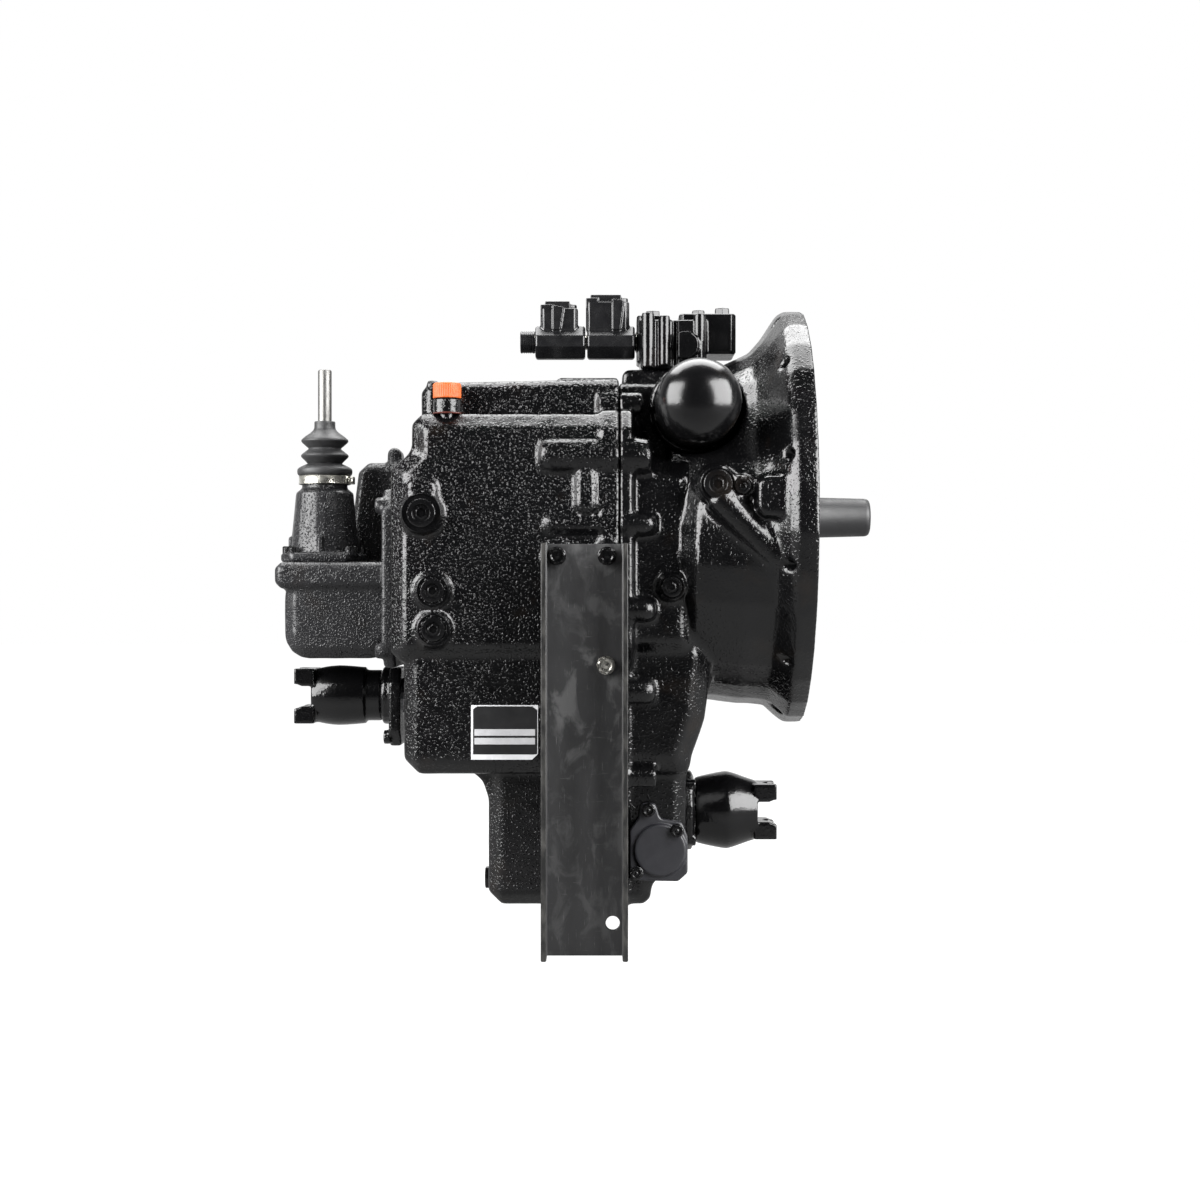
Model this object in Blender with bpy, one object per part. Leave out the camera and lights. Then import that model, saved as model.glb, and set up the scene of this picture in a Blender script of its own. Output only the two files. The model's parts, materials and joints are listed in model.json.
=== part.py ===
"""Loader-backhoe manual shuttle transmission, standing on two channel legs.

Metres, +Z up, +X towards the engine along the shafts, origin on the floor under the
middle of the object. Lengths in the tables below are in millimetres.
"""

import math

import bmesh
import bpy
from mathutils import Matrix, Vector

MM = 0.001
GAP = 0.3  # clearance between neighbouring pieces
REACH = 400.0  # a cutter this long passes right through

# Main datums
SPLIT_X = 46.0  # joint face between gear case and front housing
CASE_REAR_X = -190.0
BELL_FACE_X = 245.0
BELL_RADIUS = 225.425  # engine flange of 450.85 mm
BELL_REGISTER = 204.8
FLANGE_THICKNESS = 19.0
FLANGE_BOLT_CIRCLE = 214.3
FLANGE_BOLT_COUNT = 12
FLANGE_BOLT_HOLE = 5.5
SHAFT_TIP_X = 323.0
INPUT_Z = 451.0
OUTPUT_Z = 255.0
FRONT_Z = 128.5
SIDE_Y = 168.0  # half width of the gear case

# Gear train
INPUT_TO_COUNTER = 132.0
COUNTER_TO_OUTPUT = 100.0
FORWARD_TEETH = 20
REVERSE_TEETH = 15
IDLER_TEETH = 9
SPEED_TEETH = {"first": (22, 8), "second": (19, 11), "third": (15, 15), "fourth": (11, 19)}
SPEED_X = {"first": (-12, 8), "second": (-71, -54), "third": (-107, -89), "fourth": (-166, -149)}
TRANSFER_TEETH = (22, 18)  # on the output shaft, on the front shaft
REVERSE_X = (20, 38)
FORWARD_X = (44, 62)
TRANSFER_X = (67, 81)
SLEEVE_34_X = -128.0
SLEEVE_12_X = -33.0

# Gear lever
LEVER_X = -278.0
PIVOT_Z = 470.0
GATE_Z = 410.0
PIVOT = (LEVER_X, 0.0, PIVOT_Z)
LEVER_TOP_Z = 614.0
RAIL_34 = (-20.0, 378.0)
RAIL_12 = (-40.0, 378.0)
RAIL_RADIUS = 7.0

# Filter and solenoid valve
FILTER_X = 126.5
FILTER_Z = 562.0
FILTER_RADIUS = 43.0
SOLENOID_Y = -20.0
SOLENOID_Z = 642.0

# Legs
LEG_X = (-33.0, 54.0)
LEG_WEB_Y = 184.0
LEG_OUTER_Y = 226.0
LEG_HEIGHT = 416.8
LEG_WALL = 5.5
LEG_BOLTS = ((-17.6, 404.6), (33.1, 404.6), (32.0, 294.0))
LEG_HOLE = (38.9, 33.0, 7.2)

for old in list(bpy.data.objects):
    bpy.data.objects.remove(old, do_unlink=True)


def material(name, colour, roughness, metallic):
    made = bpy.data.materials.new(name)
    made.use_nodes = True
    shader = made.node_tree.nodes["Principled BSDF"]
    shader.inputs["Base Color"].default_value = (*colour, 1.0)
    shader.inputs["Roughness"].default_value = roughness
    shader.inputs["Metallic"].default_value = metallic
    made.diffuse_color = (*colour, 1.0)
    return made


CASTING = material("black_casting", (0.012, 0.012, 0.013), 0.3, 0.0)
GLOSS = material("gloss_black", (0.01, 0.01, 0.011), 0.12, 0.0)
LEG_STEEL = material("leg_steel", (0.05, 0.05, 0.052), 0.5, 0.3)
BLACK_BOLT = material("black_bolt", (0.015, 0.015, 0.016), 0.35, 0.3)
ZINC = material("zinc_steel", (0.62, 0.61, 0.58), 0.35, 1.0)
BRIGHT_STEEL = material("bright_steel", (0.55, 0.54, 0.52), 0.3, 1.0)
GEAR_STEEL = material("gear_steel", (0.36, 0.36, 0.37), 0.35, 1.0)
RUBBER = material("boot_rubber", (0.025, 0.025, 0.026), 0.7, 0.0)
ORANGE = material("orange_plastic", (0.85, 0.16, 0.02), 0.4, 0.0)
COIL = material("coil_plastic", (0.014, 0.014, 0.015), 0.3, 0.0)
CAP_PLASTIC = material("cap_plastic", (0.03, 0.03, 0.032), 0.55, 0.0)
PLATE = material("plate", (0.8, 0.8, 0.8), 0.4, 0.0)
COVER = material("cover_paint", (0.03, 0.03, 0.034), 0.4, 0.1)


def thing(points, faces):
    """A helper object holding one closed mesh, its points given in millimetres."""
    made = bmesh.new()
    corners = [made.verts.new(Vector(p) * MM) for p in points]
    for face in faces:
        made.faces.new([corners[i] for i in face])
    bmesh.ops.recalc_face_normals(made, faces=made.faces)
    if made.calc_volume(signed=True) < 0:
        bmesh.ops.reverse_faces(made, faces=made.faces)
    mesh = bpy.data.meshes.new("piece")
    made.to_mesh(mesh)
    made.free()
    obj = bpy.data.objects.new("piece", mesh)
    bpy.context.scene.collection.objects.link(obj)
    return obj


def loft(loops):
    """Equal loops of points joined in order, with both ends closed."""
    count = len(loops[0])
    points = [p for loop in loops for p in loop]
    faces = [list(range(count)), [len(points) - count + i for i in range(count)]]
    for row in range(len(loops) - 1):
        for i in range(count):
            j = (i + 1) % count
            a = row * count
            faces.append([a + i, a + j, a + count + j, a + count + i])
    return thing(points, faces)


def placed(axis, along, u, v):
    """A point from its distance along an axis and the other two coordinates in order."""
    if axis == "X":
        return (along, u, v)
    if axis == "Y":
        return (u, along, v)
    return (u, v, along)


def prism(axis, outline, low, high):
    return loft([[placed(axis, t, u, v) for u, v in outline] for t in (low, high)])


def box(x, y, z):
    return prism("Z", [(x[0], y[0]), (x[1], y[0]), (x[1], y[1]), (x[0], y[1])], z[0], z[1])


def turned(axis, centre, profile, count=16, ring=False):
    """A profile of (distance along, radius) turned about an axis. A ring profile is closed."""
    points = []
    rows = []
    for along, radius in profile:
        if radius == 0:
            rows.append([len(points)])
            points.append(placed(axis, along, centre[0], centre[1]))
            continue
        rows.append(list(range(len(points), len(points) + count)))
        for i in range(count):
            angle = 2 * math.pi * (i + 0.5) / count
            u = centre[0] + radius * math.cos(angle)
            v = centre[1] + radius * math.sin(angle)
            points.append(placed(axis, along, u, v))
    pairs = list(zip(rows, rows[1:]))
    faces = []
    if ring:
        pairs.append((rows[-1], rows[0]))
    else:
        faces += [row for row in (rows[0], rows[-1]) if len(row) > 1]
    for low, high in pairs:
        for i in range(count):
            j = (i + 1) % count
            if len(low) == 1:
                faces.append([low[0], high[i], high[j]])
            elif len(high) == 1:
                faces.append([low[i], low[j], high[0]])
            else:
                faces.append([low[i], low[j], high[j], high[i]])
    return thing(points, faces)


def rod(axis, centre, radius, low, high, count=12):
    return turned(axis, centre, [(low, radius), (high, radius)], count)


def ball(centre, radius, count=14):
    steps = 6
    profile = []
    for i in range(steps + 1):
        angle = math.pi * i / steps
        across = 0 if i in (0, steps) else radius * math.sin(angle)
        profile.append((centre[2] - radius * math.cos(angle), across))
    return turned("Z", centre[:2], profile, count)


def rounded(corners, radius, steps=3):
    """The outline with every corner replaced by an arc."""
    made = []
    count = len(corners)
    for i in range(count):
        here = Vector(corners[i])
        back = Vector(corners[i - 1]) - here
        on = Vector(corners[(i + 1) % count]) - here
        turn = back.angle(on)
        cut = min(radius / math.tan(turn / 2), 0.45 * back.length, 0.45 * on.length)
        reach = cut * math.tan(turn / 2)
        start = here + back.normalized() * cut
        middle = here + (back.normalized() + on.normalized()).normalized() * (
            reach / math.sin(turn / 2)
        )
        first = start - middle
        last = here + on.normalized() * cut - middle
        for k in range(steps + 1):
            share = k / steps
            ray = first.lerp(last, share)
            made.append(tuple(middle + ray.normalized() * reach))
    return made


def inset(outline, distance):
    """The outline moved inwards by a distance."""
    area = 0.0
    count = len(outline)
    for i in range(count):
        area += outline[i - 1][0] * outline[i][1] - outline[i][0] * outline[i - 1][1]
    side = 1 if area > 0 else -1
    made = []
    for i in range(count):
        here = Vector(outline[i])
        before = (here - Vector(outline[i - 1])).normalized()
        after = (Vector(outline[(i + 1) % count]) - here).normalized()
        normal_a = Vector((-before.y, before.x)) * side
        normal_b = Vector((-after.y, after.x)) * side
        miter = (normal_a + normal_b).normalized()
        made.append(tuple(here + miter * distance / max(0.3, miter.dot(normal_a))))
    return made


EDGE_SHARE = 0.75  # a chamfer this share of an edge radius cuts about as deep


def slab(axis, corners, low, high, corner, edge, steps=1):
    """A plate with rounded corners whose two end edges are broken by a chamfer."""
    outline = rounded(corners, corner, steps)
    chamfer = EDGE_SHARE * edge
    small = rounded(inset(corners, chamfer), max(0.4, corner - chamfer), steps)
    rows = (
        (low, small),
        (low + chamfer, outline),
        (high - chamfer, outline),
        (high, small),
    )
    return loft([[placed(axis, t, u, v) for u, v in row] for t, row in rows])


def hexagon(axis, centre, radius, low, high):
    return rod(axis, centre, radius, low, high, 6)


def solid(name, adds, cuts, look, smooth=True, pivot=(0.0, 0.0, 0.0)):
    """One node: the shapes in adds joined, less those in cuts, its origin at the pivot."""
    body = adds[0]
    for operation, others in (("UNION", adds[1:]), ("DIFFERENCE", cuts)):
        for other in others:
            change = body.modifiers.new(operation.lower(), "BOOLEAN")
            change.operation = operation
            change.solver = "EXACT"
            change.object = other
    graph = bpy.context.evaluated_depsgraph_get()
    graph.update()
    mesh = bpy.data.meshes.new_from_object(body.evaluated_get(graph))
    for used in [*adds, *cuts]:
        bpy.data.objects.remove(used, do_unlink=True)
    mesh.transform(Matrix.Translation(-Vector(pivot) * MM))
    mesh.name = name
    mesh.materials.clear()
    mesh.materials.append(look)
    obj = bpy.data.objects.new(name, mesh)
    obj.location = Vector(pivot) * MM
    bpy.context.scene.collection.objects.link(obj)
    if smooth:
        mesh.shade_smooth()
        mesh.set_sharp_from_angle(angle=math.radians(35))
    return obj


def gear_outline(teeth, pitch_radius, centre, phase):
    """Teeth with straight flanks, slim enough to roll with clear backlash."""
    module = 2 * pitch_radius / teeth
    outline = []
    for i in range(teeth):
        angle = phase + 2 * math.pi * i / teeth
        for share, radius in (
            (-0.30, pitch_radius - 1.15 * module),
            (-0.10, pitch_radius + 0.85 * module),
            (0.10, pitch_radius + 0.85 * module),
            (0.30, pitch_radius - 1.15 * module),
        ):
            a = angle + share * 2 * math.pi / teeth
            outline.append((centre[0] + radius * math.cos(a), centre[1] + radius * math.sin(a)))
    return outline


def meshing_phase(driver_teeth, driver_phase, driver_at, driven_teeth, driven_at):
    """The angle that puts a gap of the driven gear on a tooth of its driver."""
    line = math.atan2(driven_at[1] - driver_at[1], driven_at[0] - driver_at[0])
    pitches = (line - driver_phase) * driver_teeth / (2 * math.pi)
    return line + math.pi + (pitches + 0.5) * 2 * math.pi / driven_teeth


def gear(teeth, pitch_radius, centre, phase, x):
    return prism("X", gear_outline(teeth, pitch_radius, centre, phase), x[0], x[1])


# Shaft positions across the object
INPUT_AT = (0.0, INPUT_Z)
OUTPUT_AT = (0.0, OUTPUT_Z)
FRONT_AT = (0.0, FRONT_Z)
SPAN = INPUT_Z - OUTPUT_Z
COUNTER_UP = (COUNTER_TO_OUTPUT**2 - INPUT_TO_COUNTER**2 + SPAN**2) / (2 * SPAN)
COUNTER_Y = math.sqrt(COUNTER_TO_OUTPUT**2 - COUNTER_UP**2)
COUNTER_AT = (COUNTER_Y, OUTPUT_Z + COUNTER_UP)
SPEED_MODULE = 2 * COUNTER_TO_OUTPUT / sum(SPEED_TEETH["first"])
REVERSE_MODULE = 6.0
REVERSE_RADIUS = REVERSE_TEETH * REVERSE_MODULE / 2
IDLER_RADIUS = IDLER_TEETH * REVERSE_MODULE / 2
IDLER_SIDE = math.sqrt((REVERSE_RADIUS + IDLER_RADIUS) ** 2 - (INPUT_TO_COUNTER / 2) ** 2)
ALONG = Vector((COUNTER_AT[0] - INPUT_AT[0], COUNTER_AT[1] - INPUT_AT[1])).normalized()
IDLER_AT = (
    (INPUT_AT[0] + COUNTER_AT[0]) / 2 - ALONG.y * IDLER_SIDE,
    (INPUT_AT[1] + COUNTER_AT[1]) / 2 + ALONG.x * IDLER_SIDE,
)

# Bolt bosses on the joint face: height, radius, rear end, front end
SPLIT_BOSSES = (
    (565.0, 12.5, 24.0, 71.0),
    (508.0, 18.0, -34.0, 79.0),
    (437.6, 10.0, -30.0, 84.0),
    (350.0, 10.5, 14.0, 82.0),
    (267.0, 14.0, 18.0, 82.0),
    (178.0, 12.0, 20.0, 84.0),
)
BOSS_Y = 162.0
IDLER_BRACKET_X = (3, 15)


def split_bosses(front):
    made = []
    for side in (-1, 1):
        for z, radius, rear_x, front_x in SPLIT_BOSSES:
            if z > 540:
                y = side * 124.0
            elif z < 200:
                y = side * 150.0
            else:
                y = side * BOSS_Y
            low, high = (30.0, front_x) if front else (rear_x, 60.0)
            if front and side == 1 and high > 80:
                high = 80.0
            made.append(rod("X", (y, z), radius, low, high, 10))
    return made


def keep_side(front):
    """Cuts away what crosses the joint face."""
    if front:
        return box((-REACH, SPLIT_X + GAP / 2), (-REACH, REACH), (-REACH, 2 * REACH))
    return box((SPLIT_X - GAP / 2, REACH), (-REACH, REACH), (-REACH, 2 * REACH))


# ---------------------------------------------------------------- gear case
DROP_FILLET = [(-124, 186), (-122, 180.5), (-108, 177), (-98, 168), (-92, 150), (-80, 150),
               (-80, 186)]
case = [
    slab("Y", [(-190, 296), (-190, 494), (-168, 514), (-168, 552), (60, 552), (60, 296)],
         -SIDE_Y, SIDE_Y, 10, 22),
    slab("Y", [(-161, 500), (-161, 587), (60, 592), (60, 500)], -128, 128, 9, 12),
    slab("Y", [(-177, 330), (-177, 180), (60, 180), (60, 330)], -158, 158, 16, 18),
    slab("Y", [(-92, 210), (-92, 38), (60, 38), (60, 210)], -108, 108, 14, 18),
    prism("Y", DROP_FILLET, -97, 97),
    slab("Y", [(-24, 570), (-24, 598), (60, 598), (60, 570)], -74, 74, 6, 5),
    rod("Z", (-150, -118), 6.0, 560, 590, 10),
    # joint flange
    slab("X", [(-SIDE_Y - 5, 290), (-SIDE_Y - 5, 556), (SIDE_Y + 5, 556), (SIDE_Y + 5, 290)],
         26, 60, 22, 3),
    slab("X", [(-114, 32), (-164, 176), (-164, 310), (164, 310), (164, 176), (114, 32)],
         26, 60, 18, 3),
]
case += split_bosses(False)
for side in (-1, 1):
    for x, z in LEG_BOLTS:
        case.append(rod("Y", (x, z), 15, *sorted((side * 150, side * (LEG_WEB_Y - GAP))), 16))
    case.append(slab("Y", [(0, 446), (0, 498), (24, 498), (24, 446)],
                     *sorted((side * 140, side * 177)), 9, 7))
case += [
    box(IDLER_BRACKET_X, (44, 156), (390, 424)),
    turned("Y", (-156, 448.6), [(-179, 18), (-175, 22), (-150, 22)], 20),
    slab("Y", [(-172, 440), (-172, 486), (-140, 486), (-140, 440)], -175, -150, 8, 5),
    turned("Y", (-145, 369.3), [(-175, 16), (-172, 19), (-150, 19)], 20),
    turned("Y", (-144, 330.0), [(-175, 16), (-172, 19), (-150, 19)], 20),
]
cavity = [
    prism("Y", [(-176, 310), (-176, 486), (-155, 504), (-155, 540), (60, 540), (60, 310)],
          -152, 152),
    prism("Y", [(-169.5, 194), (60, 194), (60, 330), (-169.5, 330)], -143, 143),
    prism("Y", [(-80, 52), (60, 52), (60, 200), (-80, 200)], -94, 94),
    prism("Y", [(-149, 530), (60, 530), (60, 578), (-149, 578)], -115, 115),
]
case_cuts = [
    keep_side(False),
    rod("X", OUTPUT_AT, 30.0, -200, -150, 24),
    box((-200, -170), (-56, 24), (356, 396)),
    rod("X", INPUT_AT, 17.3, -184, -170, 16),
    rod("X", COUNTER_AT, 15.3, -184, -170, 16),
    rod("X", FRONT_AT, 12.3, -88, -75, 16),
    rod("X", IDLER_AT, 10.3, 0, 20, 12),
    rod("Y", (-156, 448.6), 12.3, -190, -160, 16),
    rod("Y", (-145, 369.3), 9.3, -190, -162, 16),
    rod("Y", (-144, 330.0), 9.3, -190, -162, 16),
    rod("Z", (-132, -146), 8.3, 530, 560, 16),
    rod("X", (-30, 58), 9.3, -100, -84, 12),
]
for side in (-1, 1):
    for x, z in LEG_BOLTS:
        case_cuts.append(rod("Y", (x, z), 5.5, *sorted((side * 162, side * 190)), 8))
solid("gear_case", case, [*cavity, *case_cuts], CASTING)

# ---------------------------------------------------------------- front housing with the bell
BELL_TOP = [(100, 125), (134, 155), (175, 174), (188, 180), (201, 195), (218, 221),
            (226, BELL_RADIUS), (BELL_FACE_X, BELL_RADIUS)]
BELL_BOTTOM = [(100, 160), (122, 198), (175, 205), (188, 205), (205, 207), (218, 219),
               (226, BELL_RADIUS), (BELL_FACE_X, BELL_RADIUS)]


def bell_skin(count=32):
    """The flared shell: a trumpet above the shaft and a straighter drum below it."""
    loops = []
    for (x_top, top), (x_low, low) in zip(BELL_TOP, BELL_BOTTOM):
        loop = []
        for i in range(count):
            angle = 2 * math.pi * (i + 0.5) / count
            share = min(1.0, max(0.0, 0.55 - 0.75 * math.sin(angle)))
            share = share * share * (3 - 2 * share)
            radius = top + (low - top) * share
            x = x_top + (x_low - x_top) * share
            loop.append((x, radius * math.cos(angle), INPUT_Z + radius * math.sin(angle)))
        loops.append(loop)
    return loft(loops)


BELL_INSIDE = [(135, 97), (177, 100), (184, 160), (216, 196), (236, BELL_REGISTER),
               (260, BELL_REGISTER)]
housing = [
    slab("Y", [(30, 300), (30, 552), (64, 552), (80, 508), (128, 498), (128, 300)],
         -160, 160, 10, 24),
    bell_skin(),
    slab("Y", [(30, 500), (30, 592), (104, 592), (150, 560), (150, 500)], -82, 118, 8, 10),
    slab("Y", [(30, 178), (118, 178), (122, 199), (130, 221), (135, 236), (139, 266),
               (143, 308), (131, 336), (116, 358), (30, 362)], -148, 148, 8, 24, 2),
    slab("Y", [(30, 38), (78, 38), (82, 60), (117, 88), (118, 215), (30, 215)], -106, 106, 7, 16),
    slab("X", [(-SIDE_Y - 5, 290), (-SIDE_Y - 5, 556), (SIDE_Y + 5, 556), (SIDE_Y + 5, 290)],
         30, 60, 22, 3),
    slab("X", [(-114, 32), (-164, 176), (-164, 310), (164, 310), (164, 176), (114, 32)],
         30, 54.5, 18, 3),
    slab("Y", [(50, 570), (50, 610.6), (140, 610.6), (140, 540)], -40, 40, 5, 4),
    rod("Y", (FILTER_X, FILTER_Z), 40.0, -89.7, -20, 16),
    # flat pad on the near side of the bell
    slab("Y", [(184, 444), (184, 485), (240, 485), (240, 444)], -212, -150, 7, 4),
    turned("Y", (145, 477), [(-200, 17), (-196, 20), (-120, 24)], 20),
    turned("Y", (170, 475), [(-199, 9), (-196, 12), (-150, 14)], 16),
    turned("Y", (99.5, 373.5), [(-170, 12), (-167, 15), (-130, 15)], 16),
    # rib from the plug boss down the bell, and a small web under it
    prism("Y", [(146, 462), (160, 466), (214, 404), (206, 396)], -203, -150),
    prism("Y", [(120, 300), (151, 304), (140, 262), (120, 262)], -110, -100),
    rod("X", (78.0, 66.0), 10.0, 40, 86, 12),
]
housing += split_bosses(True)
housing_cuts = [
    keep_side(True),
    rod("Y", (FILTER_X, FILTER_Z), 51.0, -300, -89.7, 24),
    turned("X", INPUT_AT, BELL_INSIDE, 28),
    prism("Y", [(30, 314), (30, 538), (60, 538), (70, 494), (116, 486), (116, 314)], -146, 146),
    prism("Y", [(30, 192), (105, 192), (121, 240), (127, 300), (118, 330), (30, 330)], -134, 134),
    prism("Y", [(30, 50), (74, 50), (84, 70), (106, 98), (106, 205), (30, 205)], -92, 92),
    prism("Y", [(30, 484), (30, 578), (96, 578), (122, 552), (116, 484)], -70, 104),
    rod("X", INPUT_AT, 26.0, 100, 140, 24),
    rod("X", FRONT_AT, 27.0, 90, 130, 24),
    rod("X", OUTPUT_AT, 15.3, 100, 129, 16),
    rod("X", COUNTER_AT, 15.3, 100, 124, 16),
    rod("Y", (145, 477), 12.3, -210, -184, 16),
    rod("Y", (170, 475), 6.3, -210, -188, 12),
    rod("Y", (99.5, 373.5), 8.3, -180, -160, 12),
]
for i in range(FLANGE_BOLT_COUNT):
    angle = 2 * math.pi * (i + 0.5) / FLANGE_BOLT_COUNT
    at = (FLANGE_BOLT_CIRCLE * math.cos(angle), INPUT_Z + FLANGE_BOLT_CIRCLE * math.sin(angle))
    housing_cuts.append(rod("X", at, FLANGE_BOLT_HOLE, 200, 260, 8))
solid("converter_housing", housing, housing_cuts, CASTING)

# ---------------------------------------------------------------- shift housing and tower
HOUSING_FRONT_X = CASE_REAR_X - GAP
GATE_ROOM = 23.0
cover = [
    slab("X", [(-112, 288), (-112, 478), (112, 478), (112, 288)], -204, HOUSING_FRONT_X, 24, 3),
    slab("X", [(30, 400), (30, 516), (104, 516), (104, 400)], -204, HOUSING_FRONT_X, 14, 3),
    slab("Y", [(-323, 372), (-323, 401), (-196, 401), (-196, 372)], -74, 74, 7, 8),
    slab("Y", [(-314, 390), (-314, 297), (-196, 297), (-196, 390)], -66, 66, 26, 16, 4),
    slab("Y", [(-258, 392), (-254, 450), (-246, 515), (-196, 515), (-196, 392)], 46, 106, 12, 9),
    slab("Y", [(-214, 500), (-214, 532), (-198, 532), (-198, 500)], 44, 84, 5, 4),
]
for y, z in ((-98, 460), (-98, 306), (98, 306)):
    cover.append(hexagon("X", (y, z), 9.0, -212, -200))
cover_cuts = [
    box((-300, -180), (-54, 54), (310, 388)),
    prism("Y", [(-309, 318), (-309, 388), (-290, 388), (-290, 310)], -54, 54),
    rod("Z", (LEVER_X, 0), 31.5, 380, 410, 16),
    box((LEVER_X - GATE_ROOM, LEVER_X + GATE_ROOM), (-28, 12), (380, 398)),
    box((-240, -180), (58, 94), (395, 500)),
]
solid("shift_housing", cover, cover_cuts, CASTING)

tower = [
    slab("Z", [(-322, -44), (-322, 44), (-234, 44), (-234, -44)], 401 + GAP, 411, 14, 2),
    turned("Z", (LEVER_X, 0), [(402, 41), (411, 38), (478, 31.5), (483, 25), (496.5, 25)], 20),
]
for x in (-312, -244):
    for y in (-34, 34):
        tower.append(hexagon("Z", (x, y), 7.5, 408, 418))
for angle in (0.0, math.pi / 2, math.pi, 1.5 * math.pi):
    reach = 40.0
    far = (LEVER_X + reach * math.cos(angle), reach * math.sin(angle))
    width = 3.0
    tower.append(prism("Z", [
        (LEVER_X - width * math.sin(angle) - 2 * math.cos(angle),
         width * math.cos(angle) - 2 * math.sin(angle)),
        (far[0] - width * math.sin(angle), far[1] + width * math.cos(angle)),
        (far[0] + width * math.sin(angle), far[1] - width * math.cos(angle)),
        (LEVER_X + width * math.sin(angle) - 2 * math.cos(angle),
         -width * math.cos(angle) - 2 * math.sin(angle)),
    ], 405, 430))
tower_cuts = [
    turned("Z", (LEVER_X, 0), [(395, 31.5), (420, 31.5), (440, 20), (510, 20)], 16),
    rod("Y", (LEVER_X, PIVOT_Z), 4.3, -27.5, 27.5, 12),
]
solid("shift_tower", tower, tower_cuts, CASTING)

BOOT_PROFILE = [
    (487, 27.4), (497.6, 27.4), (498.2, 30), (505, 30), (510.5, 18.5), (519, 26),
    (527, 17.5), (535, 25.5), (541, 13), (557, 11.5), (557, 7.8), (541, 9.4),
    (535, 22), (527, 14.2), (519, 22.6), (510.5, 15.2), (502.5, 26.4), (487, 25.8),
]
solid("lever_boot", [turned("Z", (LEVER_X, 0), BOOT_PROFILE, 16, True)], [], RUBBER)
CLAMP_PROFILE = [(487.4, 27.9), (487.4, 29.1), (496.8, 29.1), (496.8, 27.9)]
clamp = turned("Z", (LEVER_X, 0), CLAMP_PROFILE, 20, True)
screw = box((LEVER_X + 27.6, LEVER_X + 34), (-7, 7), (488, 496))
solid("boot_clamp", [clamp, screw], [], ZINC)

pin = rod("Y", (LEVER_X, PIVOT_Z), 4.0, -26.5, 26.5, 12)
solid("lever_pivot_pin", [pin], [], BRIGHT_STEEL, pivot=PIVOT)
lever = [
    ball((LEVER_X, 0, PIVOT_Z), 15.0),
    turned("Z", (LEVER_X, 0), [(478, 7.5), (612.5, 7.5), (LEVER_TOP_Z, 6.2)], 12),
    rod("Z", (LEVER_X, 0), 4.5, GATE_Z, 460, 8),
    ball((LEVER_X, 0, GATE_Z), 6.0, 10),
]
pin_slot = box((LEVER_X - 4.4, LEVER_X + 4.4), (-18, 18), (PIVOT_Z - 8, PIVOT_Z + 8))
solid("shift_lever", lever, [pin_slot], BRIGHT_STEEL, pivot=PIVOT)

# ---------------------------------------------------------------- rails, forks and sleeves
GATE_HALF = 11.0
RAIL_REAR_X = -296.5
NOTCH_HALF = 6.7


def gate_cut():
    return box((LEVER_X - NOTCH_HALF, LEVER_X + NOTCH_HALF), (-30, 30), (402.5, 430))


rail_34 = [
    rod("X", RAIL_34, RAIL_RADIUS, RAIL_REAR_X, -112, 12),
    box((LEVER_X - GATE_HALF, LEVER_X + GATE_HALF), (-24, 6.0), (380, 397)),
    box((LEVER_X - GATE_HALF, LEVER_X + GATE_HALF), (-6.3, 6.0), (390, 417)),
]
solid("shift_rail_34", rail_34, [gate_cut()], GEAR_STEEL)
rail_12 = [
    rod("X", RAIL_12, RAIL_RADIUS, RAIL_REAR_X, -17, 12),
    box((LEVER_X - GATE_HALF, LEVER_X + GATE_HALF), (-46, -34), (360, 380)),
    box((LEVER_X - GATE_HALF, LEVER_X + GATE_HALF), (-46, 18.8), (360, 368)),
    box((LEVER_X - GATE_HALF, LEVER_X + GATE_HALF), (6.4, 18.8), (361, 417)),
]
solid("shift_rail_12", rail_12, [gate_cut()], GEAR_STEEL)

SLEEVE_RADIUS = 44.0
GROOVE_RADIUS = 38.0


def fork(name, rail, x):
    arc = []
    for radius, order in ((GROOVE_RADIUS + 1.0, 1), (54.0, -1)):
        steps = range(13)
        for k in steps if order == 1 else reversed(steps):
            angle = math.radians(-15 + 210 * k / 12)
            y = OUTPUT_AT[0] + radius * math.cos(angle)
            arc.append((y, OUTPUT_Z + radius * math.sin(angle)))
    arm = [(-30, 298), (8, 303), (rail[0] + 9, rail[1]), (rail[0] - 9, rail[1])]
    shapes = [
        prism("X", arc, x - 3, x + 3),
        prism("X", arm, x - 2.6, x + 2.6),
        rod("X", rail, 11.5, x - 12, x + 12, 14),
    ]
    solid(name, shapes, [rod("X", rail, RAIL_RADIUS + GAP, x - 20, x + 20, 12)], GEAR_STEEL)


fork("shift_fork_34", RAIL_34, SLEEVE_34_X)
fork("shift_fork_12", RAIL_12, SLEEVE_12_X)
for name, x in (("synchro_sleeve_34", SLEEVE_34_X), ("synchro_sleeve_12", SLEEVE_12_X)):
    profile = [
        (x - 9, 32), (x - 9, SLEEVE_RADIUS), (x - 4, SLEEVE_RADIUS), (x - 4, GROOVE_RADIUS),
        (x + 4, GROOVE_RADIUS), (x + 4, SLEEVE_RADIUS), (x + 9, SLEEVE_RADIUS), (x + 9, 32),
    ]
    ring = turned("X", OUTPUT_AT, profile, 20, True)
    solid(name, [ring], [], GEAR_STEEL, pivot=(x, *OUTPUT_AT))

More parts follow.
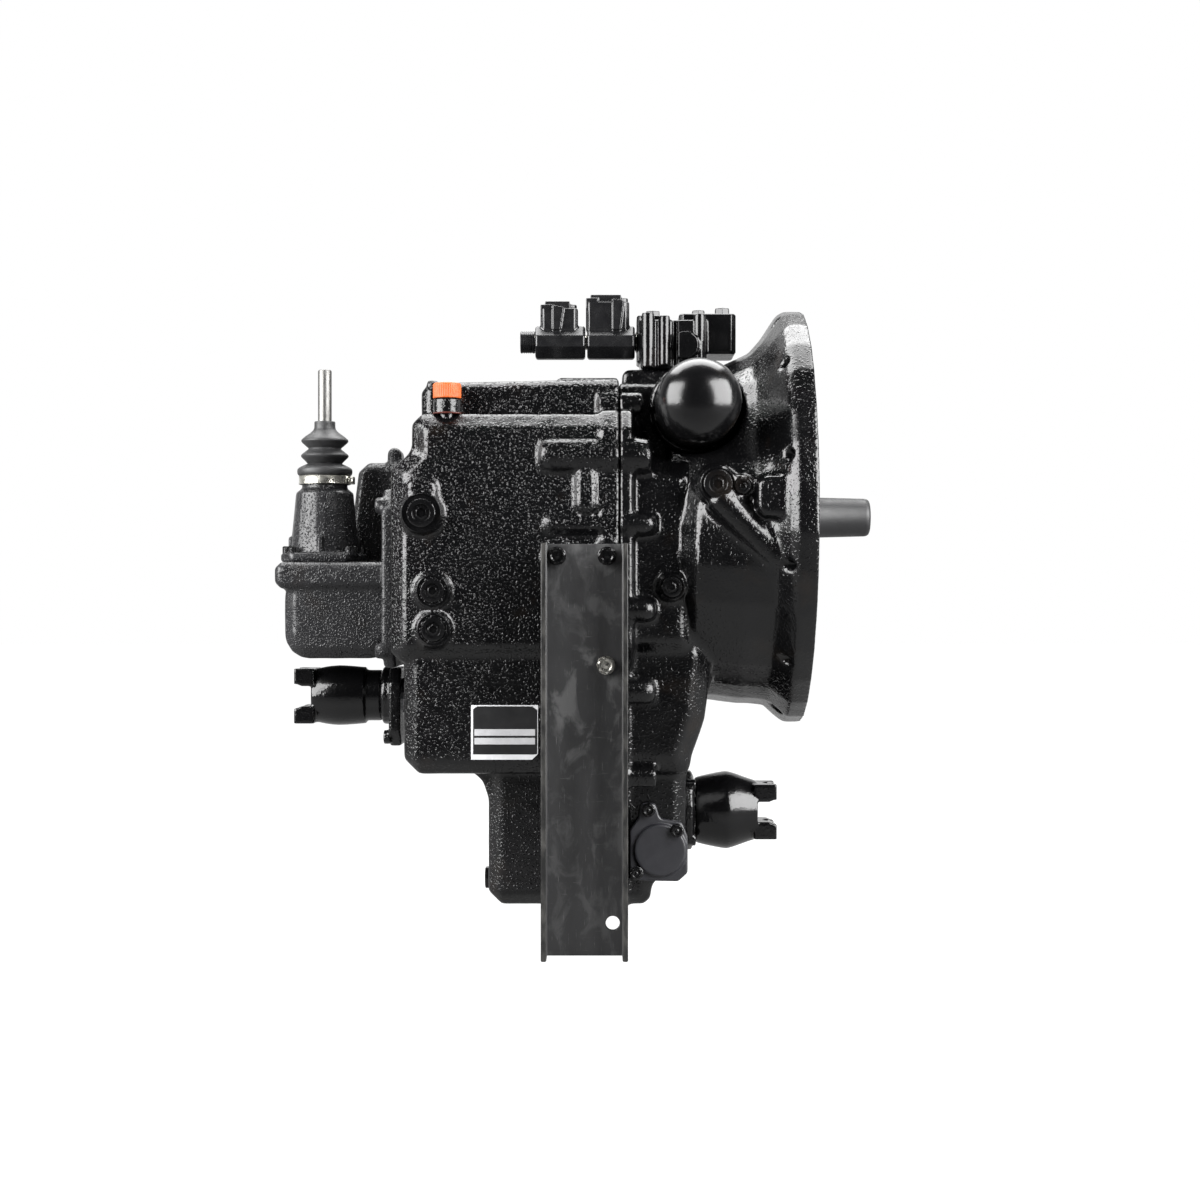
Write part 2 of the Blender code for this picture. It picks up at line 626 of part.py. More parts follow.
# ---------------------------------------------------------------- shafts and gears
counter_phase = 0.0
counter = [turned("X", COUNTER_AT, [(-183, 15), (-172, 15), (-172, 20), (110, 20), (110, 15),
                                    (123, 15)], 16)]
for speed, (out_teeth, counter_teeth) in SPEED_TEETH.items():
    radius = counter_teeth * SPEED_MODULE / 2
    counter.append(gear(counter_teeth, radius, COUNTER_AT, counter_phase, SPEED_X[speed]))
counter.append(gear(REVERSE_TEETH, REVERSE_RADIUS, COUNTER_AT, counter_phase, REVERSE_X))
counter.append(gear(FORWARD_TEETH, INPUT_TO_COUNTER / 2, COUNTER_AT, counter_phase, FORWARD_X))
solid("countershaft", counter, [], GEAR_STEEL, False, (0, *COUNTER_AT))

OUTPUT_SHAFT_RADIUS = 19.0
for speed, (out_teeth, counter_teeth) in SPEED_TEETH.items():
    phase = meshing_phase(counter_teeth, counter_phase, COUNTER_AT, out_teeth, OUTPUT_AT)
    radius = out_teeth * SPEED_MODULE / 2
    wheel = gear(out_teeth, radius, OUTPUT_AT, phase, SPEED_X[speed])
    bore = rod("X", OUTPUT_AT, OUTPUT_SHAFT_RADIUS + 2 * GAP, -REACH, REACH, 24)
    solid("gear_" + speed, [wheel], [bore], GEAR_STEEL, False, (0, *OUTPUT_AT))

INPUT_SHAFT_RADIUS = 16.0
forward_phase = meshing_phase(
    FORWARD_TEETH, counter_phase, COUNTER_AT, FORWARD_TEETH, INPUT_AT
)
idler_phase = meshing_phase(REVERSE_TEETH, counter_phase, COUNTER_AT, IDLER_TEETH, IDLER_AT)
reverse_phase = meshing_phase(IDLER_TEETH, idler_phase, IDLER_AT, REVERSE_TEETH, INPUT_AT)
for name, teeth, radius, phase, x in (
    ("forward_gear", FORWARD_TEETH, INPUT_TO_COUNTER / 2, forward_phase, FORWARD_X),
    ("reverse_gear", REVERSE_TEETH, REVERSE_RADIUS, reverse_phase, REVERSE_X),
):
    bore = rod("X", INPUT_AT, INPUT_SHAFT_RADIUS + 2 * GAP, -REACH, REACH, 20)
    wheel = gear(teeth, radius, INPUT_AT, phase, x)
    solid(name, [wheel], [bore], GEAR_STEEL, False, (0, *INPUT_AT))
idler = [
    gear(IDLER_TEETH, IDLER_RADIUS, IDLER_AT, idler_phase, REVERSE_X),
    rod("X", IDLER_AT, 10.0, 5, 41, 12),
]
solid("reverse_idler", idler, [], GEAR_STEEL, False, (0, *IDLER_AT))

input_shaft = turned("X", INPUT_AT, [
    (-183, 15), (-172, 15), (-172, INPUT_SHAFT_RADIUS), (-72, INPUT_SHAFT_RADIUS), (-72, 58),
    (0, 58), (0, INPUT_SHAFT_RADIUS), (SHAFT_TIP_X - 4, INPUT_SHAFT_RADIUS)], 20)
solid("input_shaft", [input_shaft], [], GEAR_STEEL, pivot=(0, *INPUT_AT))
CAP_PROFILE = [(252, 22.8), (SHAFT_TIP_X - 3, 20.8), (SHAFT_TIP_X, 18.5), (SHAFT_TIP_X, 0)]
cap = turned("X", INPUT_AT, CAP_PROFILE, 24)
cap_bore = rod("X", INPUT_AT, INPUT_SHAFT_RADIUS + GAP, 240, SHAFT_TIP_X - 4 + GAP, 24)
solid("input_shaft_cap", [cap], [cap_bore], CAP_PLASTIC, pivot=(0, *INPUT_AT))
stator = turned("X", INPUT_AT, [
    (135 + GAP, INPUT_SHAFT_RADIUS + GAP), (135 + GAP, 74), (147, 74), (147, 46), (160, 38),
    (162, 28), (222, 26), (222, INPUT_SHAFT_RADIUS + GAP)], 20, True)
solid("stator_support", [stator], [], GEAR_STEEL)

transfer_phase = 0.0
front_phase = meshing_phase(
    TRANSFER_TEETH[0], transfer_phase, OUTPUT_AT, TRANSFER_TEETH[1], FRONT_AT
)
transfer_radii = [(OUTPUT_Z - FRONT_Z) * n / sum(TRANSFER_TEETH) for n in TRANSFER_TEETH]
HUB_RADIUS = 31.7
output_shaft = [
    turned("X", OUTPUT_AT, [(-272, 14), (-206, 14), (-206, OUTPUT_SHAFT_RADIUS),
                            (110, OUTPUT_SHAFT_RADIUS), (110, 15), (128.5, 15)], 16),
    gear(TRANSFER_TEETH[0], transfer_radii[0], OUTPUT_AT, transfer_phase, TRANSFER_X),
]
for x in (SLEEVE_34_X, SLEEVE_12_X):
    output_shaft.append(rod("X", OUTPUT_AT, HUB_RADIUS, x - 7, x + 7, 20))
solid("output_shaft", output_shaft, [], GEAR_STEEL, pivot=(0, *OUTPUT_AT))
front_shaft = [
    turned("X", FRONT_AT, [(-87, 12), (-78, 12), (-78, 16), (100, 16), (100, 14), (190, 14)], 16),
    gear(TRANSFER_TEETH[1], transfer_radii[1], FRONT_AT, front_phase, TRANSFER_X),
]
solid("front_output_shaft", front_shaft, [], GEAR_STEEL, pivot=(0, *FRONT_AT))

EAR_WIDTH = 57.0


def yoke(name, centre, profile, base, tip, bore):
    """A drive flange with two ears and half-round saddles for the joint cross."""
    low, high = sorted((base, tip))
    z = centre[1]
    ears = [
        box((low, high), (-EAR_WIDTH / 2, EAR_WIDTH / 2), (z + 11, z + 30)),
        box((low, high), (-EAR_WIDTH / 2, EAR_WIDTH / 2), (z - 30, z - 11)),
    ]
    cuts = [
        rod("X", centre, 14 + GAP, *sorted(bore), 16),
        rod("Y", (tip, z), 13.5, -50, 50, 16),
    ]
    for side in (-1, 1):
        cuts.append(rod("Z", (tip, 0), 13.0, *sorted((z + side * 5, z + side * 60)), 16))
    body = turned("X", centre, profile, 20)
    solid(name, [body, *ears], cuts, GLOSS, pivot=(0, *centre))


yoke("rear_yoke", OUTPUT_AT, [(-290, 27), (-284, 30), (-262, 33), (-232, 31), (-231, 28),
                              (-214.5, 28)], -286, -308, (-274, -200))
yoke("front_yoke", FRONT_AT, [(130, 33), (134, 36.5), (160, 42), (170, 41.5), (186, 36),
                              (198, 32)], 194, 219, (120, 192))

retainer = [
    slab("X", [(-46, 201), (-46, 286), (46, 286), (46, 201)], -203, CASE_REAR_X - GAP, 16, 2),
    turned("X", OUTPUT_AT, [(-213.5, 30), (-211, 32), (-200, 32)], 20),
    hexagon("X", (-36, 211), 8.0, -209, -201),
    hexagon("X", (36, 211), 8.0, -209, -201),
]
solid("rear_bearing_retainer", retainer, [rod("X", OUTPUT_AT, 19.6, -230, -180, 16)], CASTING)
front_retainer = [
    turned("X", FRONT_AT, [(100, 26.7), (118 + GAP, 26.7), (118 + GAP, 44), (126, 44),
                           (129, 38)], 16),
]
for y, z in ((-33, 33), (33, 33), (-33, -33), (33, -33)):
    front_retainer.append(hexagon("X", (y * 0.9, FRONT_Z + z * 0.9), 7.0, 120, 130.5))
retainer_bore = rod("X", FRONT_AT, 16.4, 90, 140, 16)
solid("front_bearing_retainer", front_retainer, [retainer_bore], CASTING)

# ---------------------------------------------------------------- filter and solenoid valve
ring = turned("Y", (FILTER_X, FILTER_Z), [(-101.7, 46), (-99, 49), (-92, 49), (-90, 46)], 24)
solid("filter_base_ring", [ring], [], CASTING)
can = turned("Y", (FILTER_X, FILTER_Z), [
    (-226, 0), (-224.5, 13), (-219, 27), (-210, 38), (-196, FILTER_RADIUS),
    (-108, FILTER_RADIUS), (-105, 44.5), (-102, 44.5)], 28)
solid("oil_filter", [can], [], GLOSS)

valve = [
    slab("Z", [(70, -42), (70, 42), (142, 42), (142, -42)], 610.6 + GAP, 664, 5, 2),
    slab("Z", [(112, -34), (112, 34), (174, 34), (174, -34)], 628, 672, 5, 2),
    slab("Z", [(66, -36), (66, 10), (96, 10), (96, -36)], 618, 670, 4, 2),
    rod("Z", (78, -42), 7.0, 612, 671, 12),
    rod("Z", (96, -42), 6.0, 614, 668, 12),
    rod("Z", (134, -40), 6.5, 614, 670, 12),
    rod("Y", (118, 636), 15.0, -50, -30, 16),
    hexagon("Z", (84, -12), 8.5, 666, 677),
    hexagon("Z", (134, -10), 8.0, 668, 678),
    hexagon("Z", (160, -12), 9.0, 668, 680),
    hexagon("Z", (160, 20), 7.0, 668, 678),
    hexagon("Z", (100, 26), 7.0, 660, 672),
]
valve_cuts = [
    rod("X", (SOLENOID_Y, SOLENOID_Z), 9.3, 50, 92, 16),
    box((104, 111), (-60, -36), (606, 680)),
]
solid("valve_body", valve, valve_cuts, GLOSS)
tube = turned("X", (SOLENOID_Y, SOLENOID_Z), [(-59, 8), (64, 8), (66 - GAP, 12), (66 - GAP, 9),
                                             (90, 9)], 16)
solid("solenoid_tube", [tube], [], ZINC)
nut = rod("X", (SOLENOID_Y, SOLENOID_Z), 12.0, -61, -45, 12)
nut_bore = rod("X", (SOLENOID_Y, SOLENOID_Z), 8.3, -59.7, -30, 16)
solid("solenoid_nut", [nut], [nut_bore], COIL)


def coil(name, x, plug_x, plug_top, lean):
    """A wound coil with its connector moulded on top."""
    middle = (x[0] + x[1]) / 2
    y, z = SOLENOID_Y, SOLENOID_Z
    shapes = [
        slab("X", [(y - 18.5, z - 18.5), (y - 18.5, z + 17), (y + 18.5, z + 17),
                   (y + 18.5, z - 18.5)], x[0], x[1], 12, 2.5),
        slab("Z", [(plug_x[0], y - 13), (plug_x[0], y + 13), (plug_x[1], y + 13),
                   (plug_x[1], y - 13)], z + 12, plug_top - 8, 4, 1.5),
        box((plug_x[0] + 5, plug_x[1] - 9), (y - 9, y + 9), (plug_top - 12, plug_top)),
        box((plug_x[0], plug_x[0] + 13), (y - 12, y + 4), (plug_top - 16, plug_top - 4)),
        rod("Z", (plug_x[1] - 7, y), 6.0, z + 14, plug_top - 3, 10),
        prism("Y", [(middle - 4 + lean, z + 12), (middle + 4 + lean, z + 12),
                    (middle + 8 + lean, plug_top - 7), (middle - 4 + lean, plug_top - 5)],
              y - 16, y - 10),
    ]
    bore = rod("X", (y, z), 8.3, x[0] - 5, x[1] + 5, 16)
    socket = box((plug_x[0] - 5, plug_x[0] + 10), (y - 9, y + 1), (plug_top - 13, plug_top - 7))
    solid(name, shapes, [bore, socket], COIL)


coil("solenoid_coil_forward", (12, 64), (10.6, 58), 693, 6)
coil("solenoid_coil_reverse", (-44.7, 10), (-39, 2), 686, -4)

# ---------------------------------------------------------------- plugs, fittings and cover


def plug(name, x, z, outer, stem, face_y, depth, look):
    """A plug with a hexagon socket, its axis along Y."""
    shapes = [
        turned("Y", (x, z), [(face_y - 3.4, outer - 1), (face_y - 2.6, outer),
                             (face_y - GAP, outer), (face_y - GAP, stem),
                             (face_y + depth, stem)], 12),
    ]
    socket = hexagon("Y", (x, z), stem * 0.55, face_y - 10, face_y + 0.6 * depth)
    solid(name, shapes, [socket], look)


plug("case_plug_upper", -156, 448.6, 14.5, 12, -179, 14, BLACK_BOLT)
plug("case_plug_middle", -145, 369.3, 12.0, 9, -175, 11, BLACK_BOLT)
plug("case_plug_lower", -144, 330.0, 12.0, 9, -175, 11, BLACK_BOLT)
plug("bell_plug_large", 145, 477, 14.5, 12, -200, 14, BLACK_BOLT)
plug("bell_plug_small", 170, 475, 8.0, 6, -199, 9, BLACK_BOLT)
plug("front_housing_plug", 99.5, 373.5, 10.5, 8, -170, 9, BLACK_BOLT)

fitting = turned("Z", (-132, -146), [(540, 8), (552 + GAP, 8), (552 + GAP, 14.5), (566, 14.5),
                                     (568, 12.5)], 24)
solid("filler_fitting", [fitting], [], CASTING)
orange = turned("Z", (-132, -146), [(568 + GAP, 14.7), (582.5, 14.2), (584, 12.8)], 24)
solid("filler_cap", [orange], [rod("Z", (-132, -146), 9.0, 560, 570, 16)], ORANGE)

solid("nameplate", [prism("Y", [(-106.5, 196), (-106.5, 252), (-37.7, 252), (-37.7, 202),
                                (-43.7, 196)], -159.3, -158 - GAP)], [], PLATE, False)

drain = [hexagon("X", (-30, 58), 14.0, -99, -92 - GAP), rod("X", (-30, 58), 9.0, -94, -85, 12)]
solid("drain_plug", drain, [], BLACK_BOLT)

COVER_OUTLINE = [(57, 66), (57, 118), (66, 131), (69, 147), (84, 147), (89, 131), (112, 127),
                 (118, 112), (118, 74), (108, 65)]
cover_bolts = ((76.7, 140.0), (106.5, 119.0), (64.0, 74.5))
side_cover = [
    slab("Y", COVER_OUTLINE, -117, -106 - GAP, 5, 1.5, 2),
    slab("Y", [(66, 72), (66, 118), (110, 112), (112, 76)], -121, -112, 12, 3),
]
side_cover_cuts = [rod("Y", at, 4.3, -130, -100, 12) for at in cover_bolts]
solid("side_cover", side_cover, side_cover_cuts, COVER)
for i, at in enumerate(cover_bolts):
    seat = (-117 if i == 0 else -121) - GAP
    bolt = [hexagon("Y", at, 7.2, seat - 6, seat), rod("Y", at, 3.8, seat - 1, -107, 8)]
    solid("side_cover_bolt_%d" % (i + 1), bolt, [], BLACK_BOLT)

# ---------------------------------------------------------------- legs
for side, hand in ((-1, "left"), (1, "right")):
    web = sorted((side * LEG_WEB_Y, side * (LEG_WEB_Y + LEG_WALL)))
    flange = sorted((side * (LEG_WEB_Y), side * LEG_OUTER_Y))
    low, high = LEG_X
    leg = [
        box(LEG_X, web, (0, LEG_HEIGHT)),
        box((low, low + LEG_WALL), flange, (0, LEG_HEIGHT)),
        box((high - LEG_WALL, high), flange, (0, LEG_HEIGHT)),
    ]
    span = sorted((side * (LEG_WEB_Y - 10), side * (LEG_WEB_Y + 20)))
    holes = [rod("Y", at, 5.6, *span, 8) for at in LEG_BOLTS]
    holes.append(rod("Y", LEG_HOLE[:2], LEG_HOLE[2], *span, 20))
    solid("support_leg_" + hand, leg, holes, LEG_STEEL, False)
    for i, at in enumerate(LEG_BOLTS):
        head = sorted((side * (LEG_WEB_Y + LEG_WALL + GAP), side * (LEG_WEB_Y + 17)))
        stem = sorted((side * 166, side * (LEG_WEB_Y + 12)))
        washer = sorted((side * (LEG_WEB_Y + LEG_WALL + GAP), side * (LEG_WEB_Y + 8.5)))
        shapes = [
            hexagon("Y", at, 8.6, *head),
            rod("Y", at, 5.0, *stem, 8),
            rod("Y", at, 9.5, *washer, 12),
        ]
        look = ZINC if i == 2 else BLACK_BOLT
        solid("leg_bolt_%s_%d" % (hand, i + 1), shapes, [], look)
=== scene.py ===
import json
import math

import bmesh
import bpy
import numpy as np
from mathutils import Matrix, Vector, noise

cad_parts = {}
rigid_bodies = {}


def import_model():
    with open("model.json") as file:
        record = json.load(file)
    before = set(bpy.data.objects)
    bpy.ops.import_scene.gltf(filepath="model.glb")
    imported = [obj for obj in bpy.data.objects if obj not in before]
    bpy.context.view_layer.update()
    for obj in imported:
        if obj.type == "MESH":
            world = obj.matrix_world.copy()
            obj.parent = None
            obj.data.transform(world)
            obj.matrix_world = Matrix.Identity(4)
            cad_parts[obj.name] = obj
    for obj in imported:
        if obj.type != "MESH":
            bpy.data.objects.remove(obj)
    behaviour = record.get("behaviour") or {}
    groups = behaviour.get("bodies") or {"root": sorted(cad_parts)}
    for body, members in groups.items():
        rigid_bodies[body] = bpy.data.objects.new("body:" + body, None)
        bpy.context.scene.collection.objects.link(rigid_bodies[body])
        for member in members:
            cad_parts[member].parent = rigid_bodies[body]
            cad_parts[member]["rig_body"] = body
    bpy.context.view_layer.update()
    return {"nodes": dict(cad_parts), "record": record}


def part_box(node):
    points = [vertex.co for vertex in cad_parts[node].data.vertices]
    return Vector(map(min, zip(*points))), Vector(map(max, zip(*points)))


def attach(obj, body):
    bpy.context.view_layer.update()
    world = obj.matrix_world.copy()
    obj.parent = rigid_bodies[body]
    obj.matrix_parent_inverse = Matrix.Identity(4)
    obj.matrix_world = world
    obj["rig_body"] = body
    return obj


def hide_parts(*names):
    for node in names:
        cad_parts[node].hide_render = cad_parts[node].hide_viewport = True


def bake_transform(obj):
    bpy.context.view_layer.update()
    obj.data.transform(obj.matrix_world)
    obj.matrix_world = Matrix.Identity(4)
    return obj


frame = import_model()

NODES = frame["nodes"]
SLOTS = {entry["node"]: entry["material_slot"] for entry in frame["record"]["subparts"]}
MM = 0.001
SHARP = 32


# ---------------------------------------------------------------- shared helpers
def linked(name, data):
    """A new object in the scene."""
    made = bpy.data.objects.new(name, data)
    bpy.context.scene.collection.objects.link(made)
    return made


def added(tree, kind, **settings):
    """A new shader node with its settings."""
    made = tree.nodes.new(kind)
    for key, value in settings.items():
        setattr(made, key, value)
    return made


def ranged(tree, value, low, high, start, end):
    """The output of a node that maps low..high to start..end, held at both ends."""
    made = added(tree, "ShaderNodeMapRange", clamp=True)
    tree.links.new(value, made.inputs["Value"])
    for socket, number in zip(("From Min", "From Max", "To Min", "To Max"),
                              (low, high, start, end)):
        made.inputs[socket].default_value = number
    return made.outputs["Result"]


def finished(work, name):
    """The mesh made from a bmesh, which is freed."""
    made = bpy.data.meshes.new(name)
    work.to_mesh(made)
    work.free()
    return made


def shade(mesh, sharp=SHARP):
    """Smooth shading, sharp where the surface turns by more than the angle in degrees."""
    mesh.shade_smooth()
    mesh.set_sharp_from_angle(angle=math.radians(sharp))
    return mesh


def middle_of(node):
    """The middle of a CAD node's box, in mm."""
    low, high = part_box(node)
    return (low + high) / (2 * MM)


# ---------------------------------------------------------------- materials
class Surface:
    """A material that is built up from noise fields in the object's own coordinates."""

    def __init__(self, name, metallic=0.0, **constants):
        self.material = bpy.data.materials.new(name)
        self.material.use_nodes = True
        self.tree = self.material.node_tree
        self.shader = self.tree.nodes["Principled BSDF"]
        self.shader.inputs["Metallic"].default_value = metallic
        for socket, value in constants.items():
            self.shader.inputs[socket.replace("_", " ")].default_value = value
        self.place = self.node("ShaderNodeTexCoord").outputs["Object"]
        self.normal = None

    def node(self, kind, **settings):
        return added(self.tree, kind, **settings)

    def plug(self, socket, value):
        if isinstance(value, bpy.types.NodeSocket):
            self.tree.links.new(value, socket)
        else:
            socket.default_value = value

    def field(self, size, detail=2.0, roughness=0.5, stretch=(1, 1, 1), shift=0.0, twist=0.0):
        """Noise whose grains are about size metres across."""
        mapping = self.node("ShaderNodeMapping")
        self.plug(mapping.inputs["Vector"], self.place)
        mapping.inputs["Location"].default_value = (shift, shift * 0.7, shift * 1.3)
        mapping.inputs["Scale"].default_value = stretch
        grain = self.node("ShaderNodeTexNoise")
        self.plug(grain.inputs["Vector"], mapping.outputs["Vector"])
        grain.inputs["Scale"].default_value = 1.0 / size
        grain.inputs["Detail"].default_value = detail
        grain.inputs["Roughness"].default_value = roughness
        grain.inputs["Distortion"].default_value = twist
        return grain.outputs["Fac"]

    def range(self, value, low, high, start, end):
        return ranged(self.tree, value, low, high, start, end)

    def mix(self, factor, first, second):
        """A colour between two, each of them a socket or a plain colour."""
        made = self.node("ShaderNodeMix", data_type="RGBA")
        self.plug(made.inputs["Factor"], factor)
        colour_sockets = [s for s in made.inputs if s.type == "RGBA"]
        for socket, value in zip(colour_sockets, (first, second)):
            self.plug(socket, value if isinstance(value, bpy.types.NodeSocket) else (*value, 1.0))
        return [s for s in made.outputs if s.type == "RGBA"][0]

    def math(self, kind, first, second):
        made = self.node("ShaderNodeMath", operation=kind)
        self.plug(made.inputs[0], first)
        self.plug(made.inputs[1], second)
        return made.outputs[0]

    def bump(self, height, depth):
        """Adds relief of about depth metres to what is there already."""
        made = self.node("ShaderNodeBump")
        made.inputs["Strength"].default_value = 1.0
        made.inputs["Distance"].default_value = depth
        self.plug(made.inputs["Height"], height)
        if self.normal is not None:
            self.plug(made.inputs["Normal"], self.normal)
        self.normal = made.outputs["Normal"]

    def done(self, colour, roughness):
        """The finished material."""
        self.plug(self.shader.inputs["Base Color"], colour)
        self.plug(self.shader.inputs["Roughness"], roughness)
        if self.normal is not None:
            self.plug(self.shader.inputs["Normal"], self.normal)
        return self.material


# The noise values where a raised grain starts and where it is at its full height.
GRAIN = (0.54, 0.78)
DUST = (0.02, 0.02, 0.0205)
BROWN = (0.0085, 0.0055, 0.0035)


def enamel(name, pebble, depth, gloss, dull=0.10, tone=1.0):
    """Gloss black enamel over a casting, with sparse raised grains about pebble metres across.

    Roughness runs from gloss to gloss + dull, and tone multiplies the black.
    """
    s = Surface(name, Specular_IOR_Level=0.42)
    s.bump(s.field(pebble * 6, 1.0), depth * 0.8)
    s.bump(s.range(s.field(pebble, 1.0, 0.5), *GRAIN, 0.0, 1.0), depth)
    brown = s.range(s.field(0.055, 3.0, 0.6), 0.60, 0.78, 0.0, 0.55)
    black = (0.0017 * tone, 0.0017 * tone, 0.0019 * tone)
    colour = s.mix(brown, black, BROWN)
    dusty = s.range(s.field(0.0009, 1.0), 0.66, 0.80, 0.0, 0.5)
    colour = s.mix(dusty, colour, DUST)
    rough = s.range(s.field(0.02, 3.0), 0.3, 0.7, gloss, gloss + dull)
    return s.done(colour, rough)


def leg_paint():
    """Thin satin paint on rolled channel, scuffed and scratched.

    The paler rubbed patches gather in a band of heights on the leg.
    """
    s = Surface("leg_paint")
    s.bump(s.field(0.030, 3.0, 0.6, (1, 1, 0.35)), 0.0006)
    s.bump(s.field(0.0022, 3.0, 0.6), 0.00006)
    patch = s.range(s.field(0.030, 5.0, 0.62, (1.3, 1, 0.7), 0.31, 0.6), 0.51, 0.62, 0.0, 1.0)
    height = s.node("ShaderNodeSeparateXYZ")
    s.plug(height.inputs[0], s.place)
    above = s.range(height.outputs["Z"], 0.19, 0.24, 0.0, 1.0)
    below = s.range(height.outputs["Z"], 0.29, 0.33, 1.0, 0.0)
    band = s.math("MULTIPLY", above, below)
    rubbed = s.math("MULTIPLY", patch, s.range(band, 0.0, 1.0, 0.38, 0.85))
    tone = s.range(s.field(0.045, 4.0, 0.6, (1, 1, 0.3)), 0.3, 0.7, 0.0, 1.0)
    colour = s.mix(tone, (0.014, 0.014, 0.0145), (0.028, 0.028, 0.029))
    colour = s.mix(rubbed, colour, (0.085, 0.085, 0.085))
    fine = s.range(s.field(0.010, 6.0, 0.7, (9, 1, 0.35), 1.7), 0.625, 0.68, 0.0, 0.6)
    colour = s.mix(fine, colour, (0.16, 0.16, 0.16))
    cross = s.range(s.field(0.014, 6.0, 0.7, (0.5, 1, 6), 4.7), 0.64, 0.69, 0.0, 0.5)
    colour = s.mix(cross, colour, (0.11, 0.11, 0.11))
    rough = s.range(s.field(0.03, 4.0, 0.65), 0.3, 0.7, 0.34, 0.5)
    return s.done(colour, rough)


def leg_edge():
    """Rubbed flange edge: dull bare steel with paint left in patches."""
    s = Surface("leg_bare_edge")
    s.bump(s.field(0.0016, 4.0, 0.6), 0.00015)
    paint = s.range(s.field(0.010, 5.0, 0.7, (1, 1, 0.35)), 0.36, 0.56, 0.0, 1.0)
    colour = s.mix(paint, (0.030, 0.029, 0.027), (0.007, 0.007, 0.007))
    return s.done(colour, s.range(paint, 0.0, 1.0, 0.42, 0.3))


def metal(name, colour, darker, rough, brush=(1, 1, 1), size=0.0015, depth=0.00002):
    """Steel with a grain, stretched along one axis where it was drawn or ground."""
    s = Surface(name, metallic=1.0)
    s.bump(s.field(size, 4.0, 0.6, brush), depth)
    tone = s.range(s.field(size * 6, 4.0, 0.6, brush, 0.4), 0.35, 0.7, 0.0, 1.0)
    stain = s.range(s.field(0.018, 4.0, 0.65), 0.58, 0.72, 0.0, 0.5)
    surface = s.mix(stain, s.mix(tone, colour, darker), tuple(c * 0.35 for c in darker))
    return s.done(surface, s.range(s.field(size * 3, 3.0), 0.3, 0.7, rough, rough + 0.12))


def rubber():
    """Moulded boot rubber with patches of dust."""
    s = Surface("boot_moulding")
    s.bump(s.field(0.0011, 3.0, 0.6), 0.00007)
    s.bump(s.field(0.006, 2.0), 0.0001)
    dust = s.range(s.field(0.011, 5.0, 0.65), 0.42, 0.72, 0.0, 1.0)
    colour = s.mix(dust, (0.012, 0.012, 0.0125), (0.026, 0.026, 0.027))
    return s.done(colour, s.range(dust, 0.0, 1.0, 0.46, 0.62))


def plastic(name, colour, other, rough, depth=0.00003, size=0.0009, overspray=None):
    """Moulded plastic with fine spark-eroded grain, and overspray specks where given."""
    s = Surface(name)
    s.bump(s.field(size, 2.0), depth)
    s.bump(s.field(0.008, 2.0), 0.00008)
    surface = s.mix(s.range(s.field(0.012, 4.0, 0.6), 0.35, 0.7, 0.0, 1.0), colour, other)
    if overspray:
        specks = s.range(s.field(0.0016, 3.0, 0.7), 0.66, 0.72, 0.0, 0.7)
        surface = s.mix(specks, surface, overspray)
    return s.done(surface, s.range(s.field(0.01, 3.0), 0.3, 0.7, rough, rough + 0.10))


CAST = enamel("cast_enamel", 0.0024, 0.00040, 0.12)
CAST_FINE = enamel("cast_enamel_fine", 0.0028, 0.00026, 0.13)
CAST_LEFT = enamel("cast_enamel_matt", 0.0022, 0.00075, 0.27, 0.10, 5.0)
GLOSS = enamel("smooth_enamel", 0.0040, 0.00012, 0.13)
FILTER = enamel("filter_enamel", 0.0060, 0.00005, 0.19, 0.03)
BOLT = enamel("bolt_enamel", 0.0030, 0.00016, 0.16)
COVER = plastic("cover_paint_satin", (0.011, 0.011, 0.0135), (0.016, 0.016, 0.019), 0.36)
LEG = leg_paint()
EDGE = leg_edge()
ZINC = metal("zinc_plate", (0.66, 0.65, 0.60), (0.52, 0.50, 0.45), 0.22, size=0.002)
ROD = metal("drawn_rod", (0.145, 0.143, 0.139), (0.105, 0.102, 0.097), 0.38, (1, 1, 0.05),
            0.0040, 0.000008)
GROUND = metal("ground_gear_steel", (0.40, 0.40, 0.41), (0.28, 0.28, 0.29), 0.26, (0.2, 1, 1))
RUBBER = rubber()
ORANGE = plastic("orange_moulding", (0.44, 0.075, 0.004), (0.36, 0.058, 0.003), 0.52, 0.00005)
COIL = plastic("coil_moulding", (0.004, 0.004, 0.0045), (0.007, 0.007, 0.0075), 0.20,
               0.00006, 0.0014, (0.02, 0.02, 0.02))
CAP = plastic("shaft_cap_plastic", (0.006, 0.006, 0.0065), (0.009, 0.009, 0.010), 0.46)
SEALANT = plastic("thread_sealant", (0.070, 0.009, 0.004), (0.035, 0.007, 0.004), 0.45)
LABEL_WHITE = plastic("label_white", (0.62, 0.62, 0.63), (0.52, 0.52, 0.53), 0.35)
LABEL_BLACK = plastic("label_black", (0.008, 0.008, 0.0085), (0.011, 0.011, 0.0115), 0.30)
LABEL_GREY = plastic("label_field", (0.44, 0.44, 0.45), (0.36, 0.36, 0.37), 0.38,
                     overspray=(0.2, 0.2, 0.2))


# ---------------------------------------------------------------- meshes
def piece(name, mesh, look, node, replaced=()):
    """A finished object that rides with the CAD node's body.

    With None as its look, the mesh keeps the materials that it has.
    """
    made = linked(name, mesh)
    if look is not None:
        mesh.materials.clear()
        mesh.materials.append(look)
    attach(made, NODES[node]["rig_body"])
    if replaced:
        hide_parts(*replaced)
    return made


